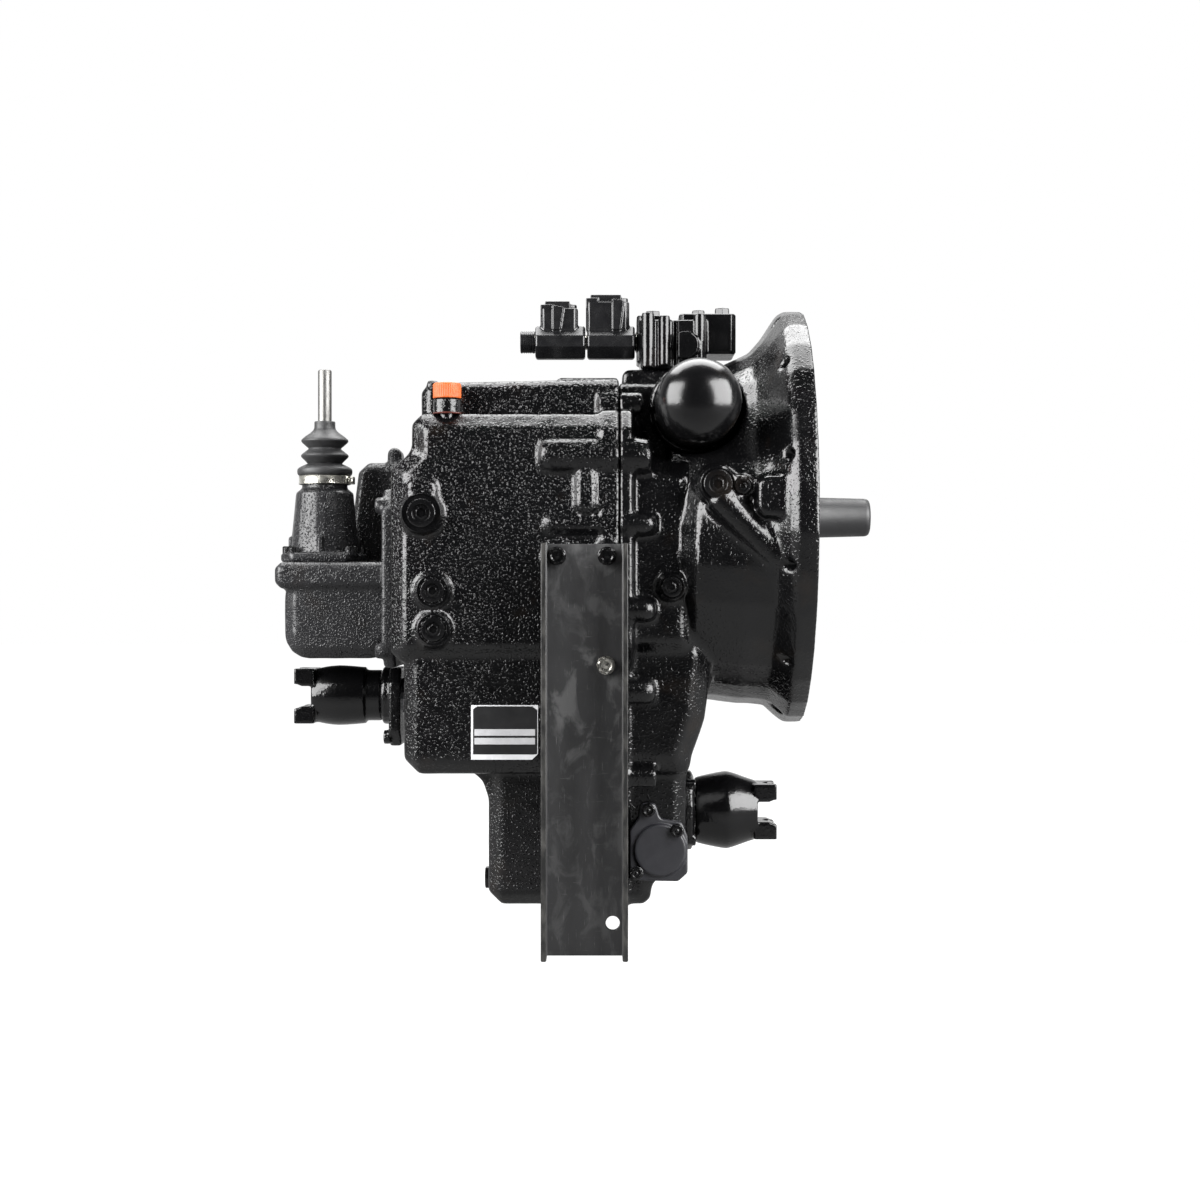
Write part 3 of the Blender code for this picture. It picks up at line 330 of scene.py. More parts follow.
def evaluated(mesh, kind, **settings):
    """The mesh after one modifier."""
    made = linked("work", mesh)
    modifier = made.modifiers.new("work", kind)
    for key, value in settings.items():
        setattr(modifier, key, value)
    graph = bpy.context.evaluated_depsgraph_get()
    result = bpy.data.meshes.new_from_object(made.evaluated_get(graph))
    bpy.data.objects.remove(made)
    return result


def read_points(mesh):
    """The vertices as rows of an array."""
    points = np.empty(len(mesh.vertices) * 3)
    mesh.vertices.foreach_get("co", points)
    return points.reshape(-1, 3)


def write_points(mesh, points):
    """Moves the vertices to the rows of an array."""
    mesh.vertices.foreach_set("co", points.ravel())
    mesh.update()


# A step moves a point this share of the way to the middle of its neighbours. On a machined plane
# the share falls to FLAT_SHARE of that, and it is back in full at FLAT_REACH from the plane.
PULL = 0.55
FLAT_SHARE = 0.30
FLAT_REACH = 5 * MM


def relax(mesh, steps, flats):
    """Rounds edges into cast fillets; points near the machined planes in flats move less."""
    points = read_points(mesh)
    count = len(points)
    edges = np.empty(len(mesh.edges) * 2, dtype=np.int64)
    mesh.edges.foreach_get("vertices", edges)
    a, b = edges.reshape(-1, 2).T
    degree = np.maximum(np.bincount(np.concatenate((a, b)), minlength=count), 1)
    share = np.full(count, PULL)
    for axis, value in flats:
        away = np.clip(np.abs(points[:, axis] - value) / FLAT_REACH, 0.0, 1.0)
        share *= FLAT_SHARE + (1.0 - FLAT_SHARE) * away
    for _ in range(steps):
        for k in range(3):
            total = np.bincount(a, points[b, k], count) + np.bincount(b, points[a, k], count)
            points[:, k] += share * (total / degree - points[:, k])
    write_points(mesh, points)


WAVE_SIZE = 16 * MM
WAVE_START = Vector((3.1, 7.7, 1.9))


def ripple(mesh, depth):
    """Moves points along their normals by noise, for the uneven surface of a sand mould."""
    points = read_points(mesh)
    normals = np.empty(len(points) * 3, dtype=np.float32)
    mesh.vertex_normals.foreach_get("vector", normals)
    waves = np.array([noise.noise(Vector(point) / WAVE_SIZE + WAVE_START) for point in points])
    points += normals.reshape(-1, 3) * (waves * depth)[:, None]
    write_points(mesh, points)


def casting(node, voxel, steps, look, flats=(), wave=0.0, keep=1.0, extras=()):
    """The CAD node's shape, joined with any extra bodies, as a casting with fillets.

    wave is the depth of its uneven surface, and keep is the share of faces that are kept.
    """
    solid = NODES[node].data.copy()
    if extras:
        solid = joined([solid, *extras])
    mesh = evaluated(solid, "REMESH", mode="VOXEL", voxel_size=voxel)
    relax(mesh, steps, flats)
    if wave:
        ripple(mesh, wave)
    if keep < 1.0:
        mesh = evaluated(mesh, "DECIMATE", ratio=keep)
    mesh.shade_smooth()
    return piece(node + "_surface", mesh, look, node, [node])


AXES = {"X": (0, 1, 2), "Y": (1, 2, 0), "Z": (2, 0, 1)}


def outline(radius, sides, count, turn=0.0):
    """Points round a circle, or round a polygon where sides is not 0."""
    points = []
    for i in range(count):
        angle = 2 * math.pi * i / count + turn
        reach = radius
        if sides:
            sector = 2 * math.pi / sides
            local = (2 * math.pi * i / count) % sector - sector / 2
            reach = radius * math.cos(sector / 2) / math.cos(local)
        points.append((reach * math.cos(angle), reach * math.sin(angle)))
    return points


def turned(axis, centre, profile, count=64, ring=False, turn=0.0, sharp=SHARP):
    """Loops of the profile (along, radius[, sides]) in mm about an axis, as a closed mesh.

    A radius of 0 closes an end in a point. With ring, the last loop joins the first instead.
    """
    along_axis, u_axis, v_axis = AXES[axis]
    points = []
    rows = []
    for along, radius, *rest in profile:
        sides = rest[0] if rest else 0
        loop = outline(radius, sides, count, turn) if radius else [(0.0, 0.0)]
        row = []
        for u, v in loop:
            point = [0.0, 0.0, 0.0]
            point[along_axis] = along * MM
            point[u_axis] = (centre[0] + u) * MM
            point[v_axis] = (centre[1] + v) * MM
            row.append(len(points))
            points.append(point)
        rows.append(row)
    faces = []
    pairs = list(zip(rows, rows[1:]))
    if ring:
        pairs.append((rows[-1], rows[0]))
    for first, second in pairs:
        for i in range(count):
            j = (i + 1) % count
            if len(first) == 1:
                faces.append((first[0], second[j], second[i]))
            elif len(second) == 1:
                faces.append((first[i], first[j], second[0]))
            else:
                faces.append((first[i], first[j], second[j], second[i]))
    if not ring:
        for row in (rows[0], rows[-1]):
            if len(row) > 1:
                faces.append(tuple(row))
    mesh = bpy.data.meshes.new("turned")
    mesh.from_pydata(points, [], faces)
    return tidy(mesh, sharp)


def tidy(mesh, sharp=SHARP):
    """The mesh with its faces turned outwards, and shaded."""
    work = bmesh.new()
    work.from_mesh(mesh)
    bmesh.ops.recalc_face_normals(work, faces=work.faces)
    work.to_mesh(mesh)
    work.free()
    return shade(mesh, sharp)


def joined(meshes):
    """Several meshes as one."""
    work = bmesh.new()
    for mesh in meshes:
        work.from_mesh(mesh)
    return shade(finished(work, "joined"))


def curve(points, steps=8):
    """A smooth line through the points (Catmull-Rom)."""
    ends = [points[0], *points, points[-1]]
    line = []
    for p0, p1, p2, p3 in zip(ends, ends[1:], ends[2:], ends[3:]):
        for k in range(steps):
            t = k / steps
            line.append(tuple(
                0.5 * (2 * b + (c - a) * t + (2 * a - 5 * b + 4 * c - d) * t * t
                       + (3 * b - a - 3 * c + d) * t**3)
                for a, b, c, d in zip(p0, p1, p2, p3)))
    line.append(points[-1])
    return line


def block(low, high, bevel):
    """A box with rounded edges, corners in mm."""
    work = bmesh.new()
    bmesh.ops.create_cube(work, size=1.0)
    for vertex in work.verts:
        for k in range(3):
            vertex.co[k] = (low[k] if vertex.co[k] < 0 else high[k]) * MM
    bmesh.ops.bevel(work, geom=work.edges, offset=bevel * MM, segments=3,
                    affect="EDGES", profile=0.5)
    return tidy(finished(work, "block"))


def bolt_head(axis, at, seat, side, across, height, washer=0.0, turn=0.0):
    """A hexagon head with a chamfered and dished top, on a washer face of the given radius.

    side is the way that it faces along the axis, and height is from seat to top.
    """
    corner = across / math.sqrt(3)
    profile = []
    base = seat
    if washer:
        profile += [(seat, washer), (seat + side * 1.2, washer),
                    (seat + side * 1.6, washer - 0.5)]
        base = seat + side * 1.6
    top = seat + side * height
    profile += [
        (base, corner, 6), (top - side * 0.16 * height, corner, 6),
        (top - side * 0.05 * height, corner * 0.94, 6), (top, across * 0.46),
        (top, across * 0.38), (top - side * 1.1, across * 0.30), (top - side * 1.3, across * 0.16),
        (top - side * 0.8, across * 0.08), (top - side * 0.8, 0),
    ]
    return turned(axis, at, profile, 48, turn=turn)


# ---------------------------------------------------------------- castings
# Machined planes, as an axis and a place on it in metres.
CASE_JOINT = (0, 45.85 * MM)
BELL_JOINT = (0, 46.15 * MM)
ENGINE_FACE = (0, 245 * MM)
REAR_JOINT = (0, -190 * MM)
# Where the bolt bosses end at the joint face, in mm, and each one's height, radius and tip. The
# bell's bosses also have the distance from the middle plane.
CASE_BOSS_END = 45.8
BELL_BOSS_END = 46.2
BOSS_DEPTH = 162.0
CASE_BOSSES = ((508.0, 18.4, -38.0), (437.6, 11.6, -34.0))
BELL_BOSSES = ((508.0, 18.4, 80.0, 162), (437.6, 11.4, 84.0, 166),
               (350.0, 12.4, 84.0, 168), (267.0, 14.3, 84.0, 166))


def boss(side, z, radius, tip, joint, depth=BOSS_DEPTH):
    """A bolt boss with a rounded end, from its tip to the joint face."""
    way = 1 if joint > tip else -1
    profile = [(tip, 0), (tip + way * 0.6, radius * 0.42), (tip + way * 3.0, radius * 0.76),
               (tip + way * 7.0, radius * 0.94), (tip + way * 12.0, radius), (joint, radius),
               (joint, 0)]
    return turned("X", (side * depth, z), profile, 48)


def strut(start, end, radius, end_radius):
    """A rounded ridge between two points in mm."""
    line = Vector(end) - Vector(start)
    work = bmesh.new()
    bmesh.ops.create_cone(work, cap_ends=True, segments=40, radius1=radius, radius2=end_radius,
                          depth=line.length)
    turn = line.to_track_quat("Z", "Y").to_matrix().to_4x4()
    bmesh.ops.transform(work, matrix=turn, verts=work.verts)
    bmesh.ops.translate(work, vec=(Vector(start) + Vector(end)) / 2, verts=work.verts)
    bmesh.ops.scale(work, vec=(MM, MM, MM), verts=work.verts)
    return tidy(finished(work, "strut"))


case_extras = [boss(side, z, radius, tip, CASE_BOSS_END)
               for side in (-1, 1) for z, radius, tip in CASE_BOSSES]
bell_extras = [boss(side, z, radius, tip, BELL_BOSS_END, depth)
               for side in (-1, 1) for z, radius, tip, depth in BELL_BOSSES]
# The ridge that runs from the large plug's boss down to the flange.
bell_extras.append(strut((146, -187, 465), (207, -189, 402), 18, 14))
casting("gear_case", 2.3 * MM, 5, CAST, [CASE_JOINT, REAR_JOINT], 0.25 * MM, 0.5, case_extras)
casting("converter_housing", 2.4 * MM, 6, CAST_FINE, [BELL_JOINT, ENGINE_FACE], 0.16 * MM, 0.5,
        bell_extras)
casting("shift_housing", 1.8 * MM, 6, CAST_LEFT, [REAR_JOINT], 0.25 * MM, 0.6)
casting("shift_tower", 1.3 * MM, 4, CAST_LEFT, [], 0.12 * MM)
casting("rear_bearing_retainer", 1.4 * MM, 3, CAST_FINE, [], 0.08 * MM)
casting("front_bearing_retainer", 1.3 * MM, 3, CAST_FINE, [], 0.08 * MM)
REAR_CROWN = curve([(-290, 27), (-284, 30), (-262, 33), (-232, 31)], 4)
FRONT_CROWN = curve([(130, 33), (134, 36.5), (160, 42), (170, 41.5), (186, 36), (198, 32)], 4)
rear_barrel = turned("X", (0, 255), [
    (-290, 0), *REAR_CROWN, (-231, 28), (-214.5, 28), (-214.5, 0)], 96)
front_barrel = turned("X", (0, 128.5), [(130, 0), *FRONT_CROWN, (198, 0)], 96)
casting("rear_yoke", 1.1 * MM, 3, GLOSS, [], 0.05 * MM, 1.0, [rear_barrel])
casting("front_yoke", 1.1 * MM, 3, GLOSS, [], 0.05 * MM, 1.0, [front_barrel])
casting("valve_body", 1.0 * MM, 2, GLOSS, [], 0.05 * MM)
casting("solenoid_coil_forward", 0.8 * MM, 2, COIL)
casting("solenoid_coil_reverse", 0.8 * MM, 2, COIL)
cover_disc = turned("Y", (98, 89), [
    (-112, 0), (-112, 27.5), (-119, 27.5), (-120.4, 26.9), (-121, 25.6), (-121, 0)], 96)
casting("side_cover", 0.9 * MM, 2, COVER, [], 0.0, 1.0, [cover_disc])

# ---------------------------------------------------------------- machined boss faces
# Node, centre (Z, X), face in Y and radius of each raised rim, in mm.
RIMS = (
    ("gear_case", (448.6, -156), -179.0, 20.4), ("gear_case", (369.3, -145), -175.0, 16.4),
    ("gear_case", (330.0, -144), -175.0, 16.4), ("converter_housing", (477, 145), -200.0, 17.2),
    ("converter_housing", (475, 170), -199.0, 9.6),
    ("converter_housing", (373.5, 99.5), -170.0, 12.8))
for number, (node_name, at, face, radius) in enumerate(RIMS, 1):
    rim = turned("Y", at, [
        (face + 12, 0), (face + 12, radius * 1.05), (face + 2.5, radius * 1.02),
        (face + 0.5, radius), (face - 0.3, radius - 0.6), (face - 0.3, radius - 1.5),
        (face + 0.4, radius - 2.1), (face + 0.4, 0)], 96)
    piece("machined_boss_%d" % number, rim, GLOSS, node_name)

# ---------------------------------------------------------------- bolts of the tower
TOWER_BOLT_SEAT = 411.0
TOWER_BOLT_TURN = 0.3
for x, end in ((-312, "rear"), (-244, "front")):
    for y, hand in ((-34, "left"), (34, "right")):
        head = bolt_head("Z", (x, y), TOWER_BOLT_SEAT, 1, 13.0, 7.4, turn=TOWER_BOLT_TURN)
        piece("tower_bolt_%s_%s" % (end, hand), head, BOLT, "shift_tower")

# ---------------------------------------------------------------- carried-over CAD pieces
CAD_LOOKS = {"gear_steel": GROUND, "zinc_steel": ZINC, "bright_steel": ROD}
for node_name, slot_name in SLOTS.items():
    if slot_name in CAD_LOOKS:
        for material_slot in NODES[node_name].material_slots:
            material_slot.material = CAD_LOOKS[slot_name]

# ---------------------------------------------------------------- oil filter
FILTER_AT = (562.0, 126.5)
DOME = curve([(-226, 0.01), (-225.4, 9), (-223.2, 18), (-219, 27), (-212.5, 34.5),
              (-204, 40), (-196, 42.6), (-188, 43)], 6)
can = turned("Y", FILTER_AT, [
    (-226, 0), *DOME[1:], (-108.5, 43), (-107, 44.2), (-102.6, 44.4), (-102, 43.5)], 128)
piece("oil_filter_can", can, FILTER, "oil_filter", ["oil_filter"])
base_ring = turned("Y", FILTER_AT, [
    (-101.7, 45), (-101, 46.8), (-99, 48.4), (-97, 49), (-92, 49), (-90, 47)], 96)
piece("filter_seat_ring", base_ring, CAST_FINE, "filter_base_ring", ["filter_base_ring"])

# ---------------------------------------------------------------- lever, boot and clamp
LEVER_X = -278.0
LEVER_AT = (LEVER_X, 0.0)
outer_low = curve([(497.6, 28.8), (499.5, 30.0), (503.8, 30.0), (506.6, 27.0),
                   (510.5, 18.7)], 6)
inner_low = [(510.5, 17.0), (508.5, 20.0), (503, 27.0), (487.2, 26.4)]
lower_boot = turned("Z", LEVER_AT, [(487.2, 27.2), (497.0, 27.2), *outer_low, *inner_low],
                    96, ring=True)
outer_high = curve([(510.4, 18.7), (513.6, 21.6), (519, 26.2), (523.6, 21.6), (527, 18.0),
                    (530.6, 21.6), (535.4, 25.9), (539.6, 22.5), (545.0, 15.2), (549.2, 11.9),
                    (556.2, 11.5)], 6)
inner_high = [(557, 11.0), (557, 8.0), (547, 9.9), (540, 15.0), (535, 22.4), (527, 16.4),
              (519, 23.6), (510.4, 17.0)]
upper_boot = turned("Z", LEVER_AT, [*outer_high, *inner_high], 96, ring=True)


def free_piece(name, mesh, look, node):
    """A finished object that rides on no single body, because it spans two."""
    made = linked(name, mesh)
    mesh.materials.append(look)
    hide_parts(node)
    return made


boot_low = free_piece("boot_lower_bellows", lower_boot, RUBBER, "lever_boot")
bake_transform(boot_low)
boot_high = free_piece("boot_upper_bellows", upper_boot, RUBBER, "lever_boot")
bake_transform(boot_high)


def ball(height, radius, angles, count):
    """A ball on the lever's axis."""
    turns = [math.radians(angle) for angle in angles]
    profile = [(height + radius * math.sin(a), radius * math.cos(a)) for a in turns]
    return turned("Z", LEVER_AT, profile, count)


ROD_TOP = 614.0
PIVOT_HEIGHT = 470
TIP_HEIGHT = 410
lever = joined([
    turned("Z", LEVER_AT, [(476, 7.3), (478, 7.5), (612.2, 7.5), (613.4, 7.1), (ROD_TOP, 6.2),
                           (ROD_TOP, 0)], 64),
    ball(PIVOT_HEIGHT, 15, range(-80, 81, 8), 64),
    turned("Z", LEVER_AT, [(TIP_HEIGHT, 4.5), (460, 4.5)], 32),
    ball(TIP_HEIGHT, 6, range(-85, 86, 10), 32),
])
piece("shift_lever_rod", lever, ROD, "shift_lever", ["shift_lever"])


BAND_RADIUS = 28.2


def band_box(angle, width, low, high, depth, slant=0.0):
    """A small raised bar on the clamp's band at an angle in degrees."""
    turn = math.radians(angle)
    out = Vector((math.cos(turn), math.sin(turn), 0))
    side = Vector((-math.sin(turn), math.cos(turn), 0))
    work = bmesh.new()
    bmesh.ops.create_cube(work, size=1.0)
    for vertex in work.verts:
        across = vertex.co.x * width
        height = low if vertex.co.z < 0 else high
        across += slant * (height - (low + high) / 2)
        reach = BAND_RADIUS + (vertex.co.y + 0.5) * depth
        place = out * reach + side * across
        vertex.co = Vector((place.x + LEVER_X, place.y, height)) * MM
    bmesh.ops.bevel(work, geom=work.edges, offset=0.12 * MM, segments=2, affect="EDGES")
    return tidy(finished(work, "bar"))


band = turned("Z", LEVER_AT, [
    (487.4, 27.5), (487.4, 28.3), (487.9, 28.7), (488.6, 28.4), (495.6, 28.4), (496.3, 28.7),
    (496.8, 28.3), (496.8, 27.5)], 128, ring=True)
THREAD_BARS = 9
THREAD_START = -74
THREAD_STEP = 5.2
bars = [band_box(THREAD_START + step * THREAD_STEP, 1.3, 488.6, 495.6, 0.55, 0.16)
        for step in range(THREAD_BARS)]
band_end = band_box(-96, 3.2, 488.2, 496.0, 0.45)
screw_housing = block((-251.5, -7.5, 487.9), (-245.4, 7.5, 496.3), 0.9)
screw_head = bolt_head("Y", (492.1, -248.2), -7.4, -1, 6.0, 4.2)
piece("worm_clamp", joined([band, *bars, band_end, screw_housing, screw_head]), ZINC,
      "boot_clamp", ["boot_clamp"])

# ---------------------------------------------------------------- filler neck and cap
FILLER_AT = (-132.0, -146.0)
neck = turned("Z", FILLER_AT, [
    (540, 8), (552.3, 8), (552.3, 13.2), (553.2, 14.2), (564, 14.5), (566.4, 14.2),
    (568, 12.8)], 72)
piece("filler_neck", neck, CAST_FINE, "filler_fitting", ["filler_fitting"])
bead = turned("Z", FILLER_AT, [(551.9, 12.6), (551.9, 14.4), (552.6, 15.0), (553.4, 14.5),
                               (553.6, 13.6)], 48, ring=True)
piece("filler_sealant", bead, SEALANT, "filler_fitting")
RIBS = 42
CAP_INSIDE = 12


def ribbed(mesh, centre, low, high, depth):
    """Presses upright grooves into a turned cap between two heights, outside CAP_INSIDE mm."""
    for vertex in mesh.vertices:
        if low * MM < vertex.co.z < high * MM:
            out = Vector((vertex.co.x - centre[0] * MM, vertex.co.y - centre[1] * MM, 0))
            if out.length > CAP_INSIDE * MM:
                angle = math.atan2(out.y, out.x)
                cut = depth * (0.5 - 0.5 * math.cos(RIBS * angle))
                vertex.co -= out.normalized() * cut


cap_mesh = turned("Z", FILLER_AT, [
    (568.3, 10.5), (568.3, 14.2), (568.9, 14.55), (569.6, 14.6), (570.2, 14.6), (575, 14.6),
    (581, 14.6), (582.2, 14.5), (583.2, 14.0), (583.9, 13.0), (584, 12.0), (583.4, 11.4),
    (583.2, 0)], RIBS * 8, sharp=40)
ribbed(cap_mesh, FILLER_AT, 570.0, 581.5, 0.35 * MM)
piece("filler_cap_ribbed", cap_mesh, ORANGE, "filler_cap", ["filler_cap"])

# ---------------------------------------------------------------- input cap, solenoid nut
INPUT_AT = (0.0, 451.0)
shaft_cap = turned("X", INPUT_AT, [
    (252, 17.5), (252, 22.2), (252.6, 22.8), (254.4, 22.8), (255.2, 22.4), (317.4, 20.8),
    (320.2, 20.2), (322.0, 18.9), (323, 16.8), (323, 0)], 96)
piece("input_shaft_sleeve", shaft_cap, CAP, "input_shaft_cap", ["input_shaft_cap"])
SOLENOID_AT = (-20.0, 642.0)
NUT_RIDGES = 5
RIDGE_STEP = 2.4
nut_profile = [(-45.2, 11.6), (-45.8, 12.0)]
for ridge in range(NUT_RIDGES):
    start = -47.5 - ridge * RIDGE_STEP
    nut_profile += [(start, 12.0), (start - 0.5, 11.4), (start - 1.4, 11.4), (start - 1.9, 12.0)]
nut_profile += [(-60.2, 12.0), (-61, 11.2), (-61, 6.0), (-59.8, 5.4), (-59.8, 0)]
piece("solenoid_knurled_nut", turned("X", SOLENOID_AT, nut_profile, 72), COIL,
      "solenoid_nut", ["solenoid_nut"])


# ---------------------------------------------------------------- plugs
def socket_plug(node, at, outer, face):
    """A flanged plug with a hexagon socket, facing -Y."""
    profile = [
        (face + 8, outer * 0.8), (face, outer * 0.8), (face, outer - 0.4), (face - 0.5, outer),
        (face - 2.6, outer), (face - 3.2, outer - 0.6), (face - 3.4, outer - 1.6),
        (face - 3.4, outer * 0.66), (face - 2.9, outer * 0.62), (face - 1.2, outer * 0.58),
        (face - 1.2, outer * 0.42), (face - 1.6, outer * 0.36, 6), (face + 4, outer * 0.34, 6),
        (face + 4.6, 0),
    ]
    piece(node + "_head", turned("Y", at, profile, 72), BOLT, node, [node])


for node_name, outer, face in (
    ("case_plug_upper", 14.5, -179.0), ("case_plug_middle", 12.0, -175.0),
    ("case_plug_lower", 12.0, -175.0), ("bell_plug_large", 14.5, -200.0),
    ("bell_plug_small", 8.0, -199.0), ("front_housing_plug", 10.5, -170.0),
):
    middle = middle_of(node_name)
    socket_plug(node_name, (middle.z, middle.x), outer, face)


# ---------------------------------------------------------------- bolts that CAD has
def bolt(node, head, stem, look):
    """A head and its stem, in the CAD bolt's place."""
    piece(node + "_head", joined([head, stem]), look, node, [node])


middle = middle_of("drain_plug")
at = (middle.y, middle.z)
head = bolt_head("X", at, -92.3, -1, 22.0, 6.7, 14.0)
bolt("drain_plug", head, turned("X", at, [(-94, 9), (-85, 9)], 32), BOLT)
LEG_SEAT = 189.8
ZINC_BOLT = 3
for hand, side in (("left", -1), ("right", 1)):
    for number in (1, 2, 3):
        node_name = "leg_bolt_%s_%d" % (hand, number)
        middle = middle_of(node_name)
        at = (middle.z, middle.x)
        head = bolt_head("Y", at, side * LEG_SEAT, side, 16.0, 11.2, 9.4, 0.3 * number)
        stem = turned("Y", at, [(side * 166, 5), (side * 195, 5)], 24)
        bolt(node_name, head, stem, ZINC if number == ZINC_BOLT else BOLT)
COVER_BOLT_DEPTH = 6.0
for number in (1, 2, 3):
    node_name = "side_cover_bolt_%d" % number
    middle = middle_of(node_name)
    at = (middle.z, middle.x)
    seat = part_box(node_name)[0].y / MM + COVER_BOLT_DEPTH
    head = bolt_head("Y", at, seat, -1, 12.0, 6.0, 7.2, 0.2 * number)
    bolt(node_name, head, turned("Y", at, [(seat, 3.6), (-107, 3.6)], 24), BOLT)


# ---------------------------------------------------------------- legs
# The flange tips lie beyond FLANGE_TIP mm from the middle plane. Edges that fold by more than
# FOLD degrees are rounded, and shading breaks at LEG_SHARP degrees to keep the flats flat.
FLANGE_TIP = 225.2
FOLD = 60
LEG_SHARP = 8


def leg_mesh(node):
    """The channel with rounded edges; the flanges' tips take the bare-edge material."""
    work = bmesh.new()
    work.from_mesh(NODES[node].data)
    bmesh.ops.remove_doubles(work, verts=work.verts, dist=0.01 * MM)
    bmesh.ops.dissolve_limit(work, angle_limit=math.radians(1.0), verts=work.verts,
                             edges=work.edges)
    edges = [e for e in work.edges
             if len(e.link_faces) == 2 and e.calc_face_angle() > math.radians(FOLD)]
    bmesh.ops.bevel(work, geom=edges, offset=0.7 * MM, segments=2, affect="EDGES",
                    clamp_overlap=True)
    made = finished(work, "leg")
    made.materials.clear()
    made.materials.append(LEG)
    made.materials.append(EDGE)
    for face in made.polygons:
        if abs(face.center.y) > FLANGE_TIP * MM:
            face.material_index = 1
    return tidy(made, LEG_SHARP)


for hand in ("left", "right"):
    node_name = "support_leg_" + hand
    piece(node_name + "_channel", leg_mesh(node_name), None, node_name, [node_name])


# ---------------------------------------------------------------- label
def sheet(corners, front, back):
    """A thin plate in the XZ plane between two Y values, in mm."""
    work = bmesh.new()
    near = [work.verts.new((x * MM, front * MM, z * MM)) for x, z in corners]
    far = [work.verts.new((x * MM, back * MM, z * MM)) for x, z in corners]
    work.faces.new(near)
    work.faces.new(far[::-1])
    for i in range(len(near)):
        j = (i + 1) % len(near)
        work.faces.new((near[j], near[i], far[i], far[j]))
    return tidy(finished(work, "sheet"))


low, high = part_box("nameplate")
left, bottom = low.x / MM, low.z / MM
right, top = high.x / MM, high.z / MM
front, back = low.y / MM, high.y / MM
# The cut corner and the border in mm, and where each blank field starts and ends, as shares of the
# plate's height down from its top.
CLIP = 6.0
BORDER = 2.2
FIELDS = ((0.44, 0.56), (0.60, 0.72))
plate = sheet([(left, bottom), (left, top), (right, top), (right, bottom + CLIP),
               (right - CLIP, bottom)], front + 0.3, back)
piece("nameplate_border", plate, LABEL_WHITE, "nameplate", ["nameplate"])
panel = sheet([(left + BORDER, bottom + 5.4), (left + BORDER, top - BORDER - 2),
               (left + BORDER + 4, top - 1.2), (right - 6, top - 1.2),
               (right - 0.8, top - 5), (right - 0.8, bottom + CLIP), (right - 4, bottom + 5.4)],
              front + 0.15, front + 0.35)
piece("nameplate_panel", panel, LABEL_BLACK, "nameplate")
height = top - bottom
for number, (start, end) in enumerate(FIELDS, 1):
    strip = sheet([(left + 3.5, top - end * height), (left + 3.5, top - start * height),
                   (right - 3, top - start * height), (right - 3, top - end * height)],
                  front, front + 0.2)
    piece("nameplate_field_%d" % number, strip, LABEL_GREY, "nameplate")

# ---------------------------------------------------------------- floor, light and camera
FLOOR = 14
floor_mesh = bpy.data.meshes.new("floor")
floor_mesh.from_pydata([(-FLOOR, -FLOOR, 0), (FLOOR, -FLOOR, 0), (FLOOR, FLOOR, 0),
                        (-FLOOR, FLOOR, 0)], [], [(0, 1, 2, 3)])
floor = linked("floor", floor_mesh)
floor_look = bpy.data.materials.new("pale_floor")
floor_look.use_nodes = True
floor_mesh.materials.append(floor_look)
tree = floor_look.node_tree
shader = tree.nodes["Principled BSDF"]
shader.inputs["Base Color"].default_value = (0.10, 0.10, 0.10, 1)
shader.inputs["Roughness"].default_value = 1.0
shader.inputs["Specular IOR Level"].default_value = 0.0
shader.inputs["Emission Color"].default_value = (1, 1, 1, 1)
# The floor looks pale to the camera, and lights the object softly from below, more from behind.
floor_place = added(tree, "ShaderNodeTexCoord").outputs["Object"]
floor_parts = added(tree, "ShaderNodeSeparateXYZ")
tree.links.new(floor_place, floor_parts.inputs[0])
glow = added(tree, "ShaderNodeMath", operation="MAXIMUM")
tree.links.new(ranged(tree, floor_parts.outputs["Y"], -0.90, -0.30, 0.02, 0.34), glow.inputs[0])
tree.links.new(added(tree, "ShaderNodeLightPath").outputs["Is Camera Ray"], glow.inputs[1])
tree.links.new(glow.outputs[0], shader.inputs["Emission Strength"])

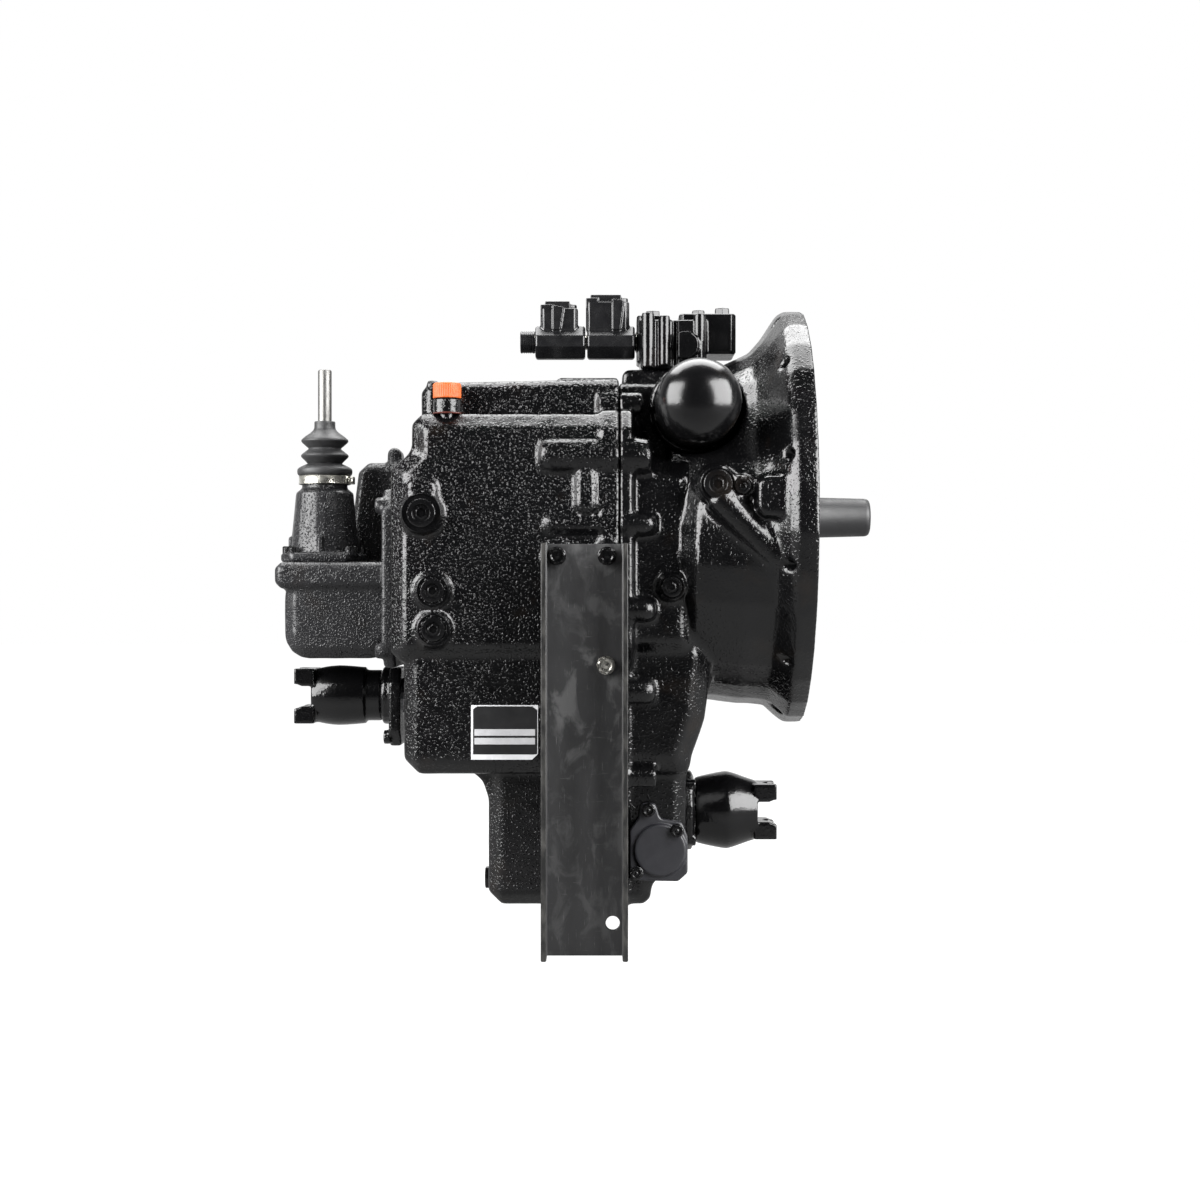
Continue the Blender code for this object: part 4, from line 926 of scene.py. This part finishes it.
# The world is white to the camera, and lights the object from behind more than from in front.
world = bpy.data.worlds.new("studio")
bpy.context.scene.world = world
world.use_nodes = True
tree = world.node_tree
tree.nodes.clear()
direction = added(tree, "ShaderNodeTexCoord").outputs["Generated"]
parts = added(tree, "ShaderNodeSeparateXYZ")
tree.links.new(direction, parts.inputs[0])
behind = ranged(tree, parts.outputs["Y"], 0.30, 0.75, 0.02, 0.9)
pick = added(tree, "ShaderNodeMix", data_type="FLOAT")
tree.links.new(added(tree, "ShaderNodeLightPath").outputs["Is Camera Ray"], pick.inputs["Factor"])
dark, bright = [s for s in pick.inputs if s.type == "VALUE" and s.name in "AB"]
tree.links.new(behind, dark)
bright.default_value = 1.0
backdrop = added(tree, "ShaderNodeBackground")
backdrop.inputs["Color"].default_value = (1, 1, 1, 1)
picked = [s for s in pick.outputs if s.type == "VALUE"][0]
tree.links.new(picked, backdrop.inputs["Strength"])
tree.links.new(backdrop.outputs[0], added(tree, "ShaderNodeOutputWorld").inputs["Surface"])


def softbox(name, at, aim, width, height, radiance):
    """A rectangular soft light that faces the aim point."""
    lamp = bpy.data.lights.new(name, "AREA")
    lamp.shape = "RECTANGLE"
    lamp.size = width
    lamp.size_y = height
    lamp.energy = radiance * math.pi * width * height
    made = linked(name, lamp)
    made.location = at
    made.rotation_euler = (Vector(aim) - Vector(at)).to_track_quat("-Z", "Y").to_euler()
    made.visible_camera = False


MIDDLE = (0.0, 0.0, 0.40)
REAR_OF_MIDDLE = (0.0, 0.2, 0.4)
softbox("softbox_left", (-1.75, -1.00, 1.10), MIDDLE, 1.9, 1.7, 15.0)
softbox("softbox_right", (1.60, -1.10, 1.10), MIDDLE, 1.9, 1.7, 16.0)
softbox("softbox_top", (0.0, 0.52, 2.0), REAR_OF_MIDDLE, 2.2, 1.1, 9.0)

camera_data = bpy.data.cameras.new("camera")
camera_data.sensor_width = 36.0
camera_data.lens = 61.2
camera = linked("camera", camera_data)
camera.location = (0.026, -2.254, 0.360)
camera.rotation_euler = (math.radians(90), 0, 0)
bpy.context.scene.camera = camera
bpy.context.scene.view_settings.view_transform = "Standard"
